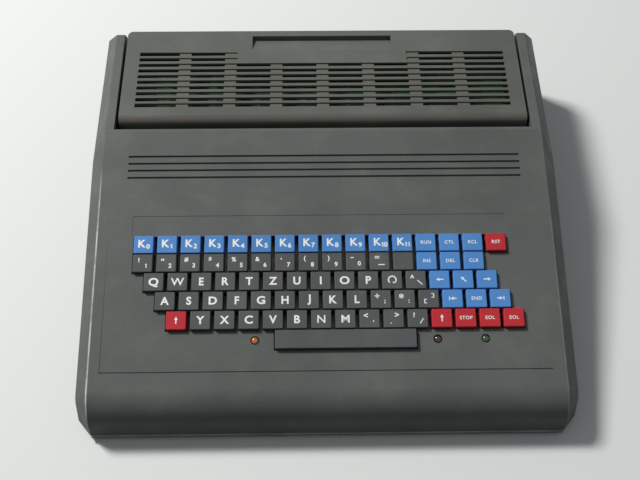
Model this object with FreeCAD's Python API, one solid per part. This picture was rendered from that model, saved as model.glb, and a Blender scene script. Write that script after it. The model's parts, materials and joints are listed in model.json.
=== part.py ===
import FreeCAD, Part
import math
import os

# Home computer with a sloping keyboard deck and a plug-in program module.
# Millimetres. X to the right, Y to the rear, Z up; the feet stand on Z = 0.
# The sizes below count Y from the front edge; the finished pieces are moved so that the
# frame's origin is under the middle of the whole outline.
V = FreeCAD.Vector
os.makedirs("parts", exist_ok=True)
ORIGIN_Y = 186.85

# Case outline, side view (Y, Z)
TOP_Z = 89.0
BEND_Y = 239.7
DECK_ANGLE = 12.0
TOP_END_Y = 354.4
REAR_Y = 368.2
REAR_BEVEL_Z = 69.0
SEAM_Z = 6.5
FRONT_DRAFT = 6.0
ROLL_R = 26.0
TOP_HALF_W = 186.2
WALL = 2.5

# Widest outline of the bevelled flanks
SIDE_HALF_W = 197.6
SIDE_DROP = 16.0
SIDE_FRONT_Y = 13.7
SIDE_FRONT_DRAFT = 21.5
SIDE_ROLL_R = 9.5
SIDE_REAR_Y = 366.8
SIDE_REAR_TAPER = (367.6, 62.0)

# Bottom tray and feet
TRAY_Z = 4.0
TRAY_LIP = 0.8
RIM_INSET = 5.3
RIM_THICK = 2.0
RIM_TOP_Z = 12.0
FOOT_R = 8.0
FOOT_SPOTS = ((-168, 30), (168, 30), (-168, 342), (168, 342))
POST_HALF = 3.8
POST_SPOTS = ((-188, 46), (188, 46), (-188, 190), (188, 190), (-188, 335), (188, 335),
              (-95, 20), (95, 20))
SCREW_R = 1.4
SCREW_HOLE_R = 1.5
SCREW_HEAD_R = 2.9
SCREW_HEAD_H = 1.6
SCREW_LEN = 13.0

# Bay for the module
BAY_HALF_W = 178.3
BAY_FRONT_Y = 243.1
BAY_FLOOR_Z = 46.0
RAIL_X = 120.0
RAIL_W = 3.0
RAIL_H = 1.5
SOCKET_WINDOW = (-64, 64, 55, 73)

# Plug-in module
MOD_HALF_W = 176.0
MOD_FRONT_Y = 252.0
MOD_TOP_END_Y = 358.2
MOD_REAR_Y = 367.6
MOD_SPLIT_Z = 49.0
MOD_BOTTOM_Z = 46.5
MOD_WALL = 2.5
MOD_FRONT_R = 4.0
MOD_CORNER_R = 5.0
RAIL_GROOVE_W = 4.0
RAIL_GROOVE_H = 1.4
VENT_HALF_W = 163.2
VENT_ROWS = 10
VENT_PITCH = 6.7
VENT_FIRST_Y = 269.5
VENT_W = 3.0
VENT_SINK = 1.2
BRIDGE_PITCH = 40.8
BRIDGE_W = 10.5
SHORT_ROWS = 2
SHORT_INNER_X = 75.6
SCOOP = (-62.7, 62.7, 334.2, 351.7)
SCOOP_DEPTH = 5.0

# Key field in deck coordinates: x across, s along the slope from the bend, w up from the deck
KEY_PITCH_X = 19.05
KEY_PITCH_S = 16.08
FIELD_X = -156.9
FIELD_S = -96.0
ROW_SHIFT = (0, 0, 0.5, 1.0, 1.5)
ROW_COUNT = (16, 15, 15, 15, 15)
SPACE_CELLS = (6, 12)
CAP_W = 16.3
CAP_D = 14.6
CAP_BEVEL = 0.7
CAP_TOP = 3.5
CAP_BOTTOM = -5.5
CAP_SHELL = 1.4
OPEN_GAP_X = 0.5
OPEN_GAP_S = 0.15
STEM_HALF = 2.4
STEM_END = -17.0
SWITCH_HALF = 6.8
SWITCH_TOP = -11.0
SWITCH_BOTTOM = -24.0
SWITCH_HOLE_HALF = 2.8
SWITCH_HOLE_END = -22.0
PLATE_TOP = -13.5
PLATE_T = 1.5
PLATE_HOLE_HALF = 7.0
PLATE_MARGIN_X = 12.0
PLATE_REAR_S = -88.0
PLATE_FRONT_S = -201.0
BOARD_T = 1.6
BOARD_MARGIN_X = 5.0
PLATE_POST_HALF = 2.8
PLATE_POST_X = 165.0
PLATE_POST_S = (-106, -146, -186)
LAMP_X = (-56.8, 87.0, 124.8)
LAMP_S = -184.3
LAMP_HOLE_R = 3.5
LAMP_R = 2.9
LAMP_FLANGE_R = 3.25
LAMP_FLANGE_W = (-13.5, -12.0)
LAMP_TOP = 0.6
LAMP_DOME_H = 1.3
LAMP_CROWN_R = 1.6

# Deck relief
GROOVE_X = (-164.2, 164.3)
GROOVE_S = (-23.4, -30.0, -36.4, -43.0)
GROOVE_W = 1.4
GROOVE_DEPTH = 1.4
STRIP_X = (-157.6, 147.7)
STRIP_S = -77.8
STRIP_DEPTH = 0.5
PANEL_X = (-177.2, 175.4)
PANEL_S = (-209.7, -70.0)
PANEL_DEPTH = 0.9

# Rear wall
REAR_WINDOW = (-162, 162, 12, 40)
PANEL_PLATE = (-167, 167, 364.2, 365.7, 9.0, 42.8)
CONNECTOR_Z = 26.0
INLET_X = 140.0
INLET_HALF_W = 14.0
INLET_HALF_H = 10.0
FUSE_X = 112.0
FUSE_R = 6.0
FUSE_BORE_R = 3.6
FUSE_CAP_R = 6.8
SWITCH_X = 84.0
SWITCH_HALF_W = 11.0
SWITCH_HALF_H = 7.5
ROCKER_TILT = 8.0
DIN_X = (52.0, 26.0, 0.0)
DIN_R = 7.5
DIN_PIN_RING = 3.6
COAX_X = -28.0
COAX_R = 5.0
BUS_X = (-72.0, -130.0)
BUS_HALF_W = 26.0
BUS_HALF_H = 6.0

# Boards and parts inside, as (x0, x1, y0, y1, z0, z1)
MAIN_BOARD = (-172, 100, 162, 352, 14.0, 15.6)
STANDOFF_SPOTS = ((-164, 170), (92, 170), (-164, 344), (92, 300), (-36, 256))
STANDOFF_R = 3.0
RISER = (-70, 70, 226.4, 228.0, 15.6, 76)
MODULE_SOCKET = (-62, 62, 228, 247, 58.5, 69.5)
SOCKET_SLOT = (-53, 53, 234.5, 247, 62.9, 65.1)
MODULE_BOARD = (-165, 165, 262, 346, 63.2, 64.8)
TONGUE = (-52, 52, 236, 262, 63.2, 64.8)
MODULE_POSTS = ((-150, 272), (150, 272), (-150, 336), (150, 336))
CHIP_L = 20.0
CHIP_W = 7.2
CHIP_H = 4.0
ROM_L = 31.0
ROM_W = 14.0
TRANSFORMER = (112, 172, 168, 216, 10.5, 58)
COIL_GAP = 10.0
CAP_SPOTS = ((122, 240), (148, 240), (122, 266), (148, 266))
CAN_R = 10.0
CAN_H = 30.0
HEATSINK = (108, 172, 286, 326, 8.5, 38)
FIN_COUNT = 9
MODULATOR = (-46, -10, 328, 358, 16.2, 36)
SPEAKER_SPOT = (-150, 90)
SPEAKER_R = 26.0

SIN_DECK = math.sin(math.radians(DECK_ANGLE))
COS_DECK = math.cos(math.radians(DECK_ANGLE))
TAN_DECK = math.tan(math.radians(DECK_ANGLE))


def save(name, shape):
    shape.translate(V(0, -ORIGIN_Y, 0))
    shape.exportStep("parts/%s.step" % name)


def group(shapes):
    return Part.makeCompound(shapes)


def box(x0, x1, y0, y1, z0, z1):
    return Part.makeBox(x1 - x0, y1 - y0, z1 - z0, V(x0, y0, z0))


def post(x, y, z0, z1, r):
    return Part.makeCylinder(r, z1 - z0, V(x, y, z0))


def square_post(x, y, z0, z1, half):
    return box(x - half, x + half, y - half, y + half, z0, z1)


def rod(x, z, y0, y1, r):
    return Part.makeCylinder(r, y1 - y0, V(x, y0, z), V(0, 1, 0))


def merged(shapes):
    return shapes[0].multiFuse(shapes[1:]).removeSplitter() if len(shapes) > 1 else shapes[0]


def on_deck(shape):
    """Moves a shape drawn in deck coordinates (x, s, w) on to the slope."""
    shape.rotate(V(0, 0, 0), V(1, 0, 0), DECK_ANGLE)
    shape.translate(V(0, BEND_Y, TOP_Z))
    return shape


def frustum(x, y, half_w, half_d, z0, z1, bevel):
    """A block with its four sides drawn in by `bevel` at the top."""
    turns = ((-1, -1), (1, -1), (1, 1), (-1, 1))
    low = [V(x + i * half_w, y + j * half_d, z0) for i, j in turns]
    high = [V(x + i * (half_w - bevel), y + j * (half_d - bevel), z1) for i, j in turns]
    rings = [low[::-1], high]
    rings += [[low[i - 1], low[i], high[i], high[i - 1]] for i in range(len(turns))]
    faces = [Part.Face(Part.makePolygon(ring + [ring[0]])) for ring in rings]
    return Part.makeSolid(Part.makeShell(faces))


def crossing(p, d, q, e):
    """Point where the line p + t d meets the line q + t e."""
    t = ((q[0] - p[0]) * e[1] - (q[1] - p[1]) * e[0]) / (d[0] * e[1] - d[1] * e[0])
    return (p[0] + t * d[0], p[1] + t * d[1])


def inset(points, depths):
    """Closed outline with edge i (point i to i + 1) moved inwards by depths[i]."""
    lines = []
    for i, p in enumerate(points):
        q = points[(i + 1) % len(points)]
        d = (q[0] - p[0], q[1] - p[1])
        size = math.hypot(d[0], d[1])
        normal = (d[1] / size, -d[0] / size)
        shift = depths[i]
        lines.append(((p[0] + normal[0] * shift, p[1] + normal[1] * shift), d))
    return [crossing(lines[i - 1][0], lines[i - 1][1], lines[i][0], lines[i][1])
            for i in range(len(points))]


def side_wire(x, points, corner, radius):
    """Outline in the plane at x, the corner point rounded off by a tangent arc."""
    spots = [V(x, p[0], p[1]) for p in points]
    here = spots[corner]
    to_prev = (spots[corner - 1] - here).normalize()
    to_next = (spots[corner + 1] - here).normalize()
    half = to_prev.getAngle(to_next) / 2
    reach = radius / math.tan(half)
    start = here + to_prev * reach
    end = here + to_next * reach
    centre = here + (to_prev + to_next).normalize() * (radius / math.sin(half))
    middle = centre + (here - centre).normalize() * radius
    edges = []
    for i, spot in enumerate(spots):
        nxt = spots[(i + 1) % len(spots)]
        a = end if i == corner else spot
        b = start if (i + 1) % len(spots) == corner else nxt
        edges.append(Part.makeLine(a, b))
        if (i + 1) % len(spots) == corner:
            edges.append(Part.Arc(start, middle, end).toShape())
    return Part.Wire(edges)


def front_slope(base_y, draft):
    return (base_y, SEAM_Z), (math.tan(math.radians(draft)), 1.0)


def deck_line(drop):
    return (BEND_Y, TOP_Z - drop / COS_DECK), (COS_DECK, SIN_DECK)


def case_outlines():
    base, rise = front_slope(0.0, FRONT_DRAFT)
    low, run = deck_line(0.0)
    middle = [(0.0, SEAM_Z), crossing(base, rise, low, run), (BEND_Y, TOP_Z), (TOP_END_Y, TOP_Z),
              (REAR_Y, REAR_BEVEL_Z), (REAR_Y, SEAM_Z)]
    base, rise = front_slope(SIDE_FRONT_Y, SIDE_FRONT_DRAFT)
    low, run = deck_line(SIDE_DROP)
    flank = [(SIDE_FRONT_Y, SEAM_Z), crossing(base, rise, low, run),
             crossing(low, run, (0, REAR_BEVEL_Z), (1, 0)), (SIDE_REAR_Y, REAR_BEVEL_Z),
             SIDE_REAR_TAPER, (SIDE_REAR_Y, SEAM_Z)]
    return middle, flank


def case_solid(middle, flank, half_mid, half_side, roll_mid, roll_side):
    """The bevelled body: a prism in the middle and a ruled flank at each side."""
    wire = side_wire(-half_mid, middle, 1, roll_mid)
    body = [Part.Face(wire).extrude(V(2 * half_mid, 0, 0))]
    for side in (-1, 1):
        inner = side_wire(side * half_mid, middle, 1, roll_mid)
        outer = side_wire(side * half_side, flank, 1, roll_side)
        body.append(Part.makeLoft([inner, outer], True, True))
    return merged(body)


def hollow_solid(middle, flank):
    below = -3 * SEAM_Z
    depths = [WALL, WALL, WALL, WALL, WALL, below]
    return case_solid(inset(middle, depths), inset(flank, depths), TOP_HALF_W - WALL / 2,
                      SIDE_HALF_W - WALL, ROLL_R - WALL, SIDE_ROLL_R - WALL)


def key_cell(row, column):
    x = FIELD_X + KEY_PITCH_X * (ROW_SHIFT[row] + column + 0.5)
    s = FIELD_S - KEY_PITCH_S * (row + 0.5)
    return x, s


def space_cell():
    x = FIELD_X + KEY_PITCH_X * (SPACE_CELLS[0] + SPACE_CELLS[1]) / 2
    s = FIELD_S - KEY_PITCH_S * (len(ROW_COUNT) + 0.5)
    return x, s


def key_opening(w0, w1):
    """The staggered window of the deck, one slab for each row of keys."""
    slabs = []
    for row, count in enumerate(ROW_COUNT):
        x0 = FIELD_X + KEY_PITCH_X * ROW_SHIFT[row] + OPEN_GAP_X
        x1 = FIELD_X + KEY_PITCH_X * (ROW_SHIFT[row] + count) - OPEN_GAP_X
        s1 = FIELD_S - KEY_PITCH_S * row + OPEN_GAP_S
        slabs.append(box(x0, x1, s1 - KEY_PITCH_S - 2 * OPEN_GAP_S, s1, w0, w1))
    x0 = FIELD_X + KEY_PITCH_X * SPACE_CELLS[0] + OPEN_GAP_X
    x1 = FIELD_X + KEY_PITCH_X * SPACE_CELLS[1] - OPEN_GAP_X
    s1 = FIELD_S - KEY_PITCH_S * len(ROW_COUNT) + OPEN_GAP_S
    slabs.append(box(x0, x1, s1 - KEY_PITCH_S - 2 * OPEN_GAP_S, s1, w0, w1))
    return merged(slabs)


def deck_relief():
    """Cuts in the deck: key window, lamp holes, grooves, label strip and the sunk key panel."""
    above = 1.0
    cuts = [key_opening(-3 * WALL, above)]
    cuts += [Part.makeCylinder(LAMP_HOLE_R, 3 * WALL, V(x, LAMP_S, -2 * WALL)) for x in LAMP_X]
    for s in GROOVE_S:
        cuts.append(box(GROOVE_X[0], GROOVE_X[1], s - GROOVE_W / 2, s + GROOVE_W / 2,
                        -GROOVE_DEPTH, above))
    cuts.append(box(STRIP_X[0], STRIP_X[1], FIELD_S, STRIP_S, -STRIP_DEPTH - 0.2, above))
    wedge = Part.makePolygon([V(PANEL_X[0], PANEL_S[1], 0), V(PANEL_X[0], PANEL_S[1], above),
                              V(PANEL_X[0], PANEL_S[0], above), V(PANEL_X[0], PANEL_S[0], -PANEL_DEPTH),
                              V(PANEL_X[0], PANEL_S[1], 0)])
    cuts.append(Part.Face(wedge).extrude(V(PANEL_X[1] - PANEL_X[0], 0, 0)))
    return [on_deck(cut) for cut in cuts]


def top_cover():
    middle, flank = case_outlines()
    outer = case_solid(middle, flank, TOP_HALF_W, SIDE_HALF_W, ROLL_R, SIDE_ROLL_R)
    shell = outer.cut(hollow_solid(middle, flank))
    bay_block = box(-BAY_HALF_W - WALL, BAY_HALF_W + WALL, BAY_FRONT_Y - WALL, REAR_Y,
                    BAY_FLOOR_Z - WALL, TOP_Z)
    added = [bay_block.common(outer)]
    for x, y in POST_SPOTS:
        added.append(square_post(x, y, SEAM_Z, TOP_Z, POST_HALF).common(outer))
    for x in (-PLATE_POST_X, PLATE_POST_X):
        for s in PLATE_POST_S:
            stub = square_post(x, s, PLATE_TOP, -WALL / 2, PLATE_POST_HALF)
            added.append(on_deck(stub))
    body = shell.multiFuse(added)
    bay = box(-BAY_HALF_W, BAY_HALF_W, BAY_FRONT_Y, REAR_Y + WALL, BAY_FLOOR_Z, TOP_Z + WALL)
    cuts = [bay] + deck_relief()
    x0, x1, z0, z1 = REAR_WINDOW
    cuts.append(box(x0, x1, REAR_Y - 2 * WALL, REAR_Y + WALL, z0, z1))
    x0, x1, z0, z1 = SOCKET_WINDOW
    cuts.append(box(x0, x1, BAY_FRONT_Y - 2 * WALL, BAY_FRONT_Y + WALL, z0, z1))
    for x, y in POST_SPOTS:
        cuts.append(post(x, y, SEAM_Z - 1, SEAM_Z + SCREW_LEN, SCREW_HOLE_R))
    body = body.cut(cuts)
    rails = [box(side * RAIL_X - RAIL_W / 2, side * RAIL_X + RAIL_W / 2, BAY_FRONT_Y,
                 REAR_Y - WALL, BAY_FLOOR_Z, BAY_FLOOR_Z + RAIL_H) for side in (-1, 1)]
    return body.multiFuse(rails).removeSplitter()


def tray_outline(depth):
    points = [(-TOP_HALF_W, 0), (-SIDE_HALF_W, SIDE_FRONT_Y), (-SIDE_HALF_W, SIDE_REAR_Y),
              (-TOP_HALF_W, REAR_Y), (TOP_HALF_W, REAR_Y), (SIDE_HALF_W, SIDE_REAR_Y),
              (SIDE_HALF_W, SIDE_FRONT_Y), (TOP_HALF_W, 0)]
    return inset(points, [depth] * len(points))


def tray_slab(points, z0, z1):
    spots = [V(p[0], p[1], z0) for p in points]
    return Part.Face(Part.makePolygon(spots + [spots[0]])).extrude(V(0, 0, z1 - z0))


def bottom_tray():
    plate = tray_slab(tray_outline(0), TRAY_Z, SEAM_Z)
    lip = box(-TOP_HALF_W, TOP_HALF_W, -TRAY_LIP, 1, TRAY_Z, SEAM_Z)
    rim = tray_slab(tray_outline(RIM_INSET), TRAY_Z, RIM_TOP_Z)
    rim = rim.cut(tray_slab(tray_outline(RIM_INSET + RIM_THICK), SEAM_Z, RIM_TOP_Z + 1))
    parts = [plate, lip, rim]
    parts += [post(x, y, SEAM_Z, MAIN_BOARD[4], STANDOFF_R) for x, y in STANDOFF_SPOTS]
    body = plate.multiFuse(parts[1:])
    clear = 0.4
    cuts = []
    for x, y in POST_SPOTS:
        cuts.append(post(x, y, TRAY_Z - 1, SEAM_Z + 1, SCREW_HOLE_R))
        cuts.append(post(x, y, TRAY_Z - 1, TRAY_Z + SCREW_HEAD_H, SCREW_HEAD_R + clear))
        cuts.append(square_post(x, y, SEAM_Z, RIM_TOP_Z + 1, POST_HALF + clear))
    for i in range(-3, 4):
        x = SPEAKER_SPOT[0] + 6 * i
        cuts.append(box(x - 1.2, x + 1.2, SPEAKER_SPOT[1] - 18, SPEAKER_SPOT[1] + 18,
                        TRAY_Z - 1, SEAM_Z + 1))
    for i in range(12):
        x = -140 + 20 * i
        for y in (205, 285):
            cuts.append(box(x - 1.5, x + 1.5, y - 16, y + 16, TRAY_Z - 1, SEAM_Z + 1))
    return body.cut(cuts).removeSplitter()


def case_screws():
    screws = []
    for x, y in POST_SPOTS:
        head = post(x, y, TRAY_Z, TRAY_Z + SCREW_HEAD_H, SCREW_HEAD_R)
        shank = post(x, y, TRAY_Z + SCREW_HEAD_H, SEAM_Z + SCREW_LEN - 1, SCREW_R)
        slot = box(x - 0.5, x + 0.5, y - 2, y + 2, TRAY_Z - 1, TRAY_Z + 0.8)
        screws.append(head.fuse(shank).cut(slot))
    return group(screws)


def feet():
    return group([Part.makeCone(FOOT_R - 0.8, FOOT_R, TRAY_Z, V(x, y, 0)) for x, y in FOOT_SPOTS])


def rear_panel():
    x0, x1, y0, y1, z0, z1 = PANEL_PLATE
    plate = box(x0, x1, y0, y1, z0, z1)
    clear = 0.25
    cuts = [box(INLET_X - INLET_HALF_W - clear, INLET_X + INLET_HALF_W + clear, y0 - 1, y1 + 1,
                CONNECTOR_Z - INLET_HALF_H - clear, CONNECTOR_Z + INLET_HALF_H + clear)]
    cuts.append(box(SWITCH_X - SWITCH_HALF_W - clear, SWITCH_X + SWITCH_HALF_W + clear, y0 - 1,
                    y1 + 1, CONNECTOR_Z - SWITCH_HALF_H - clear, CONNECTOR_Z + SWITCH_HALF_H + clear))
    cuts.append(rod(FUSE_X, CONNECTOR_Z, y0 - 1, y1 + 1, FUSE_R + clear))
    cuts.append(rod(COAX_X, CONNECTOR_Z, y0 - 1, y1 + 1, COAX_R + clear))
    cuts += [rod(x, CONNECTOR_Z, y0 - 1, y1 + 1, DIN_R + clear) for x in DIN_X]
    cuts += [box(x - BUS_HALF_W - clear, x + BUS_HALF_W + clear, y0 - 1, y1 + 1,
                 CONNECTOR_Z - BUS_HALF_H - clear, CONNECTOR_Z + BUS_HALF_H + clear) for x in BUS_X]
    return plate.cut(cuts)


def module_profile(z0):
    return [V(0, MOD_FRONT_Y, z0), V(0, MOD_FRONT_Y, TOP_Z), V(0, MOD_TOP_END_Y, TOP_Z),
            V(0, MOD_REAR_Y, REAR_BEVEL_Z), V(0, MOD_REAR_Y, z0), V(0, MOD_FRONT_Y, z0)]


def vent_row(index):
    """One row of the grille: a sunk groove, open between the bridges."""
    y = VENT_FIRST_Y + VENT_PITCH * index
    short = index >= VENT_ROWS - SHORT_ROWS
    spans = [(-VENT_HALF_W, -SHORT_INNER_X), (SHORT_INNER_X, VENT_HALF_W)]
    if not short:
        spans = [(-VENT_HALF_W, VENT_HALF_W)]
    grooves = [box(a, b, y - VENT_W / 2, y + VENT_W / 2, TOP_Z - VENT_SINK, TOP_Z + 1)
               for a, b in spans]
    edges = [-VENT_HALF_W]
    for i in range(-3, 4):
        edges += [i * BRIDGE_PITCH - BRIDGE_W / 2, i * BRIDGE_PITCH + BRIDGE_W / 2]
    edges.append(VENT_HALF_W)
    slots = []
    for a, b in zip(edges[0::2], edges[1::2]):
        if short and abs(a + b) / 2 < SHORT_INNER_X:
            continue
        slots.append(box(a, b, y - VENT_W / 2, y + VENT_W / 2, TOP_Z - 2 * MOD_WALL, TOP_Z))
    return grooves + slots


def module_case():
    face = Part.Face(Part.makePolygon(module_profile(MOD_SPLIT_Z)))
    body = face.extrude(V(2 * MOD_HALF_W, 0, 0))
    body.translate(V(-MOD_HALF_W, 0, 0))
    front = []
    corners = []
    for edge in body.Edges:
        a = edge.Vertexes[0].Point
        b = edge.Vertexes[-1].Point
        if abs(a.z - TOP_Z) < 0.01 and abs(b.z - TOP_Z) < 0.01 and abs(a.y - MOD_FRONT_Y) < 0.01 \
                and abs(b.y - MOD_FRONT_Y) < 0.01:
            front.append(edge)
        if abs(a.x - b.x) < 0.01 and abs(a.z - b.z) > 5 and min(a.y, b.y) > MOD_TOP_END_Y - 1:
            corners.append(edge)
    body = body.makeFillet(MOD_CORNER_R, corners)
    front = [e for e in body.Edges if abs(e.BoundBox.ZMin - TOP_Z) < 0.01
             and abs(e.BoundBox.YMax - MOD_FRONT_Y) < 0.01]
    body = body.makeFillet(MOD_FRONT_R, front)
    room = box(-MOD_HALF_W + MOD_WALL, MOD_HALF_W - MOD_WALL, MOD_FRONT_Y + MOD_WALL,
               MOD_TOP_END_Y - MOD_WALL, MOD_SPLIT_Z - 1, TOP_Z - MOD_WALL)
    cuts = [room]
    for index in range(VENT_ROWS):
        cuts += vent_row(index)
    x0, x1, y0, y1 = SCOOP
    ramp = Part.makePolygon([V(x0, y0, TOP_Z + 1), V(x0, y0, TOP_Z), V(x0, y1, TOP_Z - SCOOP_DEPTH),
                             V(x0, y1, TOP_Z + 1), V(x0, y0, TOP_Z + 1)])
    scoop = Part.Face(ramp).extrude(V(x1 - x0, 0, 0))
    floor = Part.makePolygon([V(x0, y0, TOP_Z - MOD_WALL), V(x0, y0, TOP_Z - MOD_WALL - 1),
                              V(x0, y1 + MOD_WALL, TOP_Z - MOD_WALL - SCOOP_DEPTH),
                              V(x0, y1 + MOD_WALL, TOP_Z - MOD_WALL), V(x0, y0, TOP_Z - MOD_WALL)])
    pan = Part.Face(floor).extrude(V(x1 - x0, 0, 0))
    pan = pan.fuse(box(x0, x1, y1, y1 + MOD_WALL + 2, TOP_Z - MOD_WALL - SCOOP_DEPTH, TOP_Z - 1))
    cuts.append(box(-54, 54, MOD_FRONT_Y - 1, MOD_FRONT_Y + MOD_WALL + 1, 61.5, 66.5))
    return body.cut(cuts).fuse(pan).cut(scoop).removeSplitter()


def module_base():
    plate = box(-MOD_HALF_W, MOD_HALF_W, MOD_FRONT_Y, MOD_REAR_Y, MOD_BOTTOM_Z, MOD_SPLIT_Z)
    parts = [post(x, y, MOD_SPLIT_Z, MODULE_BOARD[4], STANDOFF_R) for x, y in MODULE_POSTS]
    body = plate.multiFuse(parts)
    cuts = [box(side * RAIL_X - RAIL_GROOVE_W / 2, side * RAIL_X + RAIL_GROOVE_W / 2,
                MOD_FRONT_Y - 1, MOD_REAR_Y + 1, MOD_BOTTOM_Z - 1, MOD_BOTTOM_Z + RAIL_GROOVE_H)
            for side in (-1, 1)]
    return body.cut(cuts).removeSplitter()


def chip(x, y, z, length, width):
    """Dual-in-line package lying along X, with its end notch."""
    body = box(x - length / 2, x + length / 2, y - width / 2, y + width / 2, z, z + CHIP_H)
    notch = box(x - length / 2 - 1, x - length / 2 + 1.2, y - 1, y + 1, z + CHIP_H - 0.6,
                z + CHIP_H + 1)
    return body.cut(notch)


def key_cap(x, s, half_w):
    outer = frustum(x, s, half_w, CAP_D / 2, CAP_BOTTOM, CAP_TOP, CAP_BEVEL)
    room = box(x - half_w + 2 * CAP_SHELL, x + half_w - 2 * CAP_SHELL, s - CAP_D / 2 + 2 * CAP_SHELL,
               s + CAP_D / 2 - 2 * CAP_SHELL, CAP_BOTTOM - 1, CAP_TOP - CAP_SHELL)
    stem = box(x - STEM_HALF, x + STEM_HALF, s - STEM_HALF, s + STEM_HALF, STEM_END,
               CAP_TOP - CAP_SHELL)
    return on_deck(outer.cut(room).fuse(stem))


def keys():
    """Single keys as parts of their own, the letter and number keys as one part for each row."""
    single = {
        (0, 12): "key_run", (0, 13): "key_ctl", (0, 14): "key_rcl", (0, 15): "key_rst",
        (1, 12): "key_ins", (1, 13): "key_del", (1, 14): "key_clr",
        (2, 12): "key_left", (2, 13): "key_home", (2, 14): "key_right",
        (3, 12): "key_line_start", (3, 13): "key_end", (3, 14): "key_line_end",
        (4, 0): "key_shift_left", (4, 11): "key_shift_right", (4, 12): "key_stop",
        (4, 13): "key_eol_left", (4, 14): "key_eol_right"}
    banks = ("keys_function", "keys_number", "keys_upper", "keys_home", "keys_lower")
    for row, count in enumerate(ROW_COUNT):
        rest = []
        for column in range(count):
            x, s = key_cell(row, column)
            cap = key_cap(x, s, CAP_W / 2)
            if (row, column) in single:
                save(single[(row, column)], cap)
            else:
                rest.append(cap)
        save(banks[row], group(rest))
    x, s = space_cell()
    half = KEY_PITCH_X * (SPACE_CELLS[1] - SPACE_CELLS[0]) / 2 - (KEY_PITCH_X - CAP_W) / 2
    save("key_space", key_cap(x, s, half))


def all_cells():
    cells = [key_cell(row, c) for row, count in enumerate(ROW_COUNT) for c in range(count)]
    return cells + [space_cell()]


def key_plate():
    x0 = FIELD_X - PLATE_MARGIN_X
    plate = box(x0, -x0, PLATE_FRONT_S, PLATE_REAR_S, PLATE_TOP - PLATE_T, PLATE_TOP)
    h = PLATE_HOLE_HALF
    cuts = [box(x - h, x + h, s - h, s + h, PLATE_TOP - 2 * PLATE_T, PLATE_TOP + 1)
            for x, s in all_cells()]
    return on_deck(plate.cut(cuts))


def key_switches():
    h = SWITCH_HALF
    k = SWITCH_HOLE_HALF
    bodies = []
    for x, s in all_cells():
        body = box(x - h, x + h, s - h, s + h, SWITCH_BOTTOM, SWITCH_TOP)
        hole = box(x - k, x + k, s - k, s + k, SWITCH_HOLE_END, SWITCH_TOP + 1)
        bodies.append(on_deck(body.cut(hole)))
    return group(bodies)


def key_board():
    x0 = FIELD_X - BOARD_MARGIN_X
    return on_deck(box(x0, -x0, PLATE_FRONT_S, PLATE_REAR_S, SWITCH_BOTTOM - BOARD_T, SWITCH_BOTTOM))


def lamp(x):
    flange = Part.makeCylinder(LAMP_FLANGE_R, LAMP_FLANGE_W[1] - LAMP_FLANGE_W[0],
                               V(x, LAMP_S, LAMP_FLANGE_W[0]))
    shoulder = LAMP_TOP - LAMP_DOME_H
    barrel = Part.makeCylinder(LAMP_R, shoulder - LAMP_FLANGE_W[0], V(x, LAMP_S, LAMP_FLANGE_W[0]))
    dome = Part.makeCone(LAMP_R, LAMP_CROWN_R, LAMP_DOME_H, V(x, LAMP_S, shoulder))
    return on_deck(flange.multiFuse([barrel, dome]).removeSplitter())


def module_board():
    return box(*MODULE_BOARD).fuse(box(*TONGUE)).removeSplitter()


def module_chips():
    z = MODULE_BOARD[5]
    spots = [(-120 + 40 * i, y) for i in range(7) for y in (290, 318)]
    return group([chip(x, y, z, ROM_L, ROM_W) for x, y in spots])


def main_board():
    body = box(*MAIN_BOARD)
    holes = [post(x, y, MAIN_BOARD[4] - 1, MAIN_BOARD[5] + 1, SCREW_HOLE_R)
             for x, y in STANDOFF_SPOTS]
    return body.cut(holes)


def logic_chips():
    z = MAIN_BOARD[5]
    spots = [(-150 + 27 * i, y) for i in range(9) for y in (186, 204)]
    spots += [(-150 + 27 * i, 240) for i in range(4)]
    processor = chip(20, 244, z, 51.0, ROM_W)
    return group([chip(x, y, z, CHIP_L, CHIP_W) for x, y in spots] + [processor])


def memory_chips():
    z = MAIN_BOARD[5]
    spots = [(-150 + 26 * i, y) for i in range(8) for y in (272, 288)]
    return group([chip(x, y, z, CHIP_L, CHIP_W) for x, y in spots])


def transformer():
    x0, x1, y0, y1, z0, z1 = TRANSFORMER
    third = (x1 - x0) / 6
    core = box(x0, x1, y0 + COIL_GAP, y1 - COIL_GAP, z0, z1)
    windows = [box(x0 + third, x0 + 2 * third, y0, y1, z0 + third, z1 - third),
               box(x1 - 2 * third, x1 - third, y0, y1, z0 + third, z1 - third)]
    feet_plate = box(x0 - 8, x1 + 8, y0 + COIL_GAP, y1 - COIL_GAP, SEAM_Z, z0)
    core = core.cut(windows).fuse(feet_plate).removeSplitter()
    clear = 0.3
    coil = box(x0 + third + clear, x1 - third - clear, y0, y1, z0 + third + clear,
               z1 - third - clear)
    limb = box(x0 + 2 * third - clear, x1 - 2 * third + clear, y0 + COIL_GAP - clear,
               y1 - COIL_GAP + clear, z0, z1)
    return core, coil.cut(limb)


def capacitors():
    return group([post(x, y, SEAM_Z, SEAM_Z + CAN_H, CAN_R) for x, y in CAP_SPOTS])


def heatsink():
    x0, x1, y0, y1, z0, z1 = HEATSINK
    parts = [box(x0, x1, y0, y0 + 3, SEAM_Z, z1)]
    step = (x1 - x0 - 2) / (FIN_COUNT - 1)
    for i in range(FIN_COUNT):
        parts.append(box(x0 + i * step, x0 + i * step + 2, y0, y1, z0, z1))
    return merged(parts)


def regulators():
    x0, x1, y0, y1, z0, z1 = HEATSINK
    return group([box(x - 5, x + 5, y0 - 4.5, y0, z1 - 20, z1 - 4) for x in (x0 + 14, x0 + 32, x1 - 14)])


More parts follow.
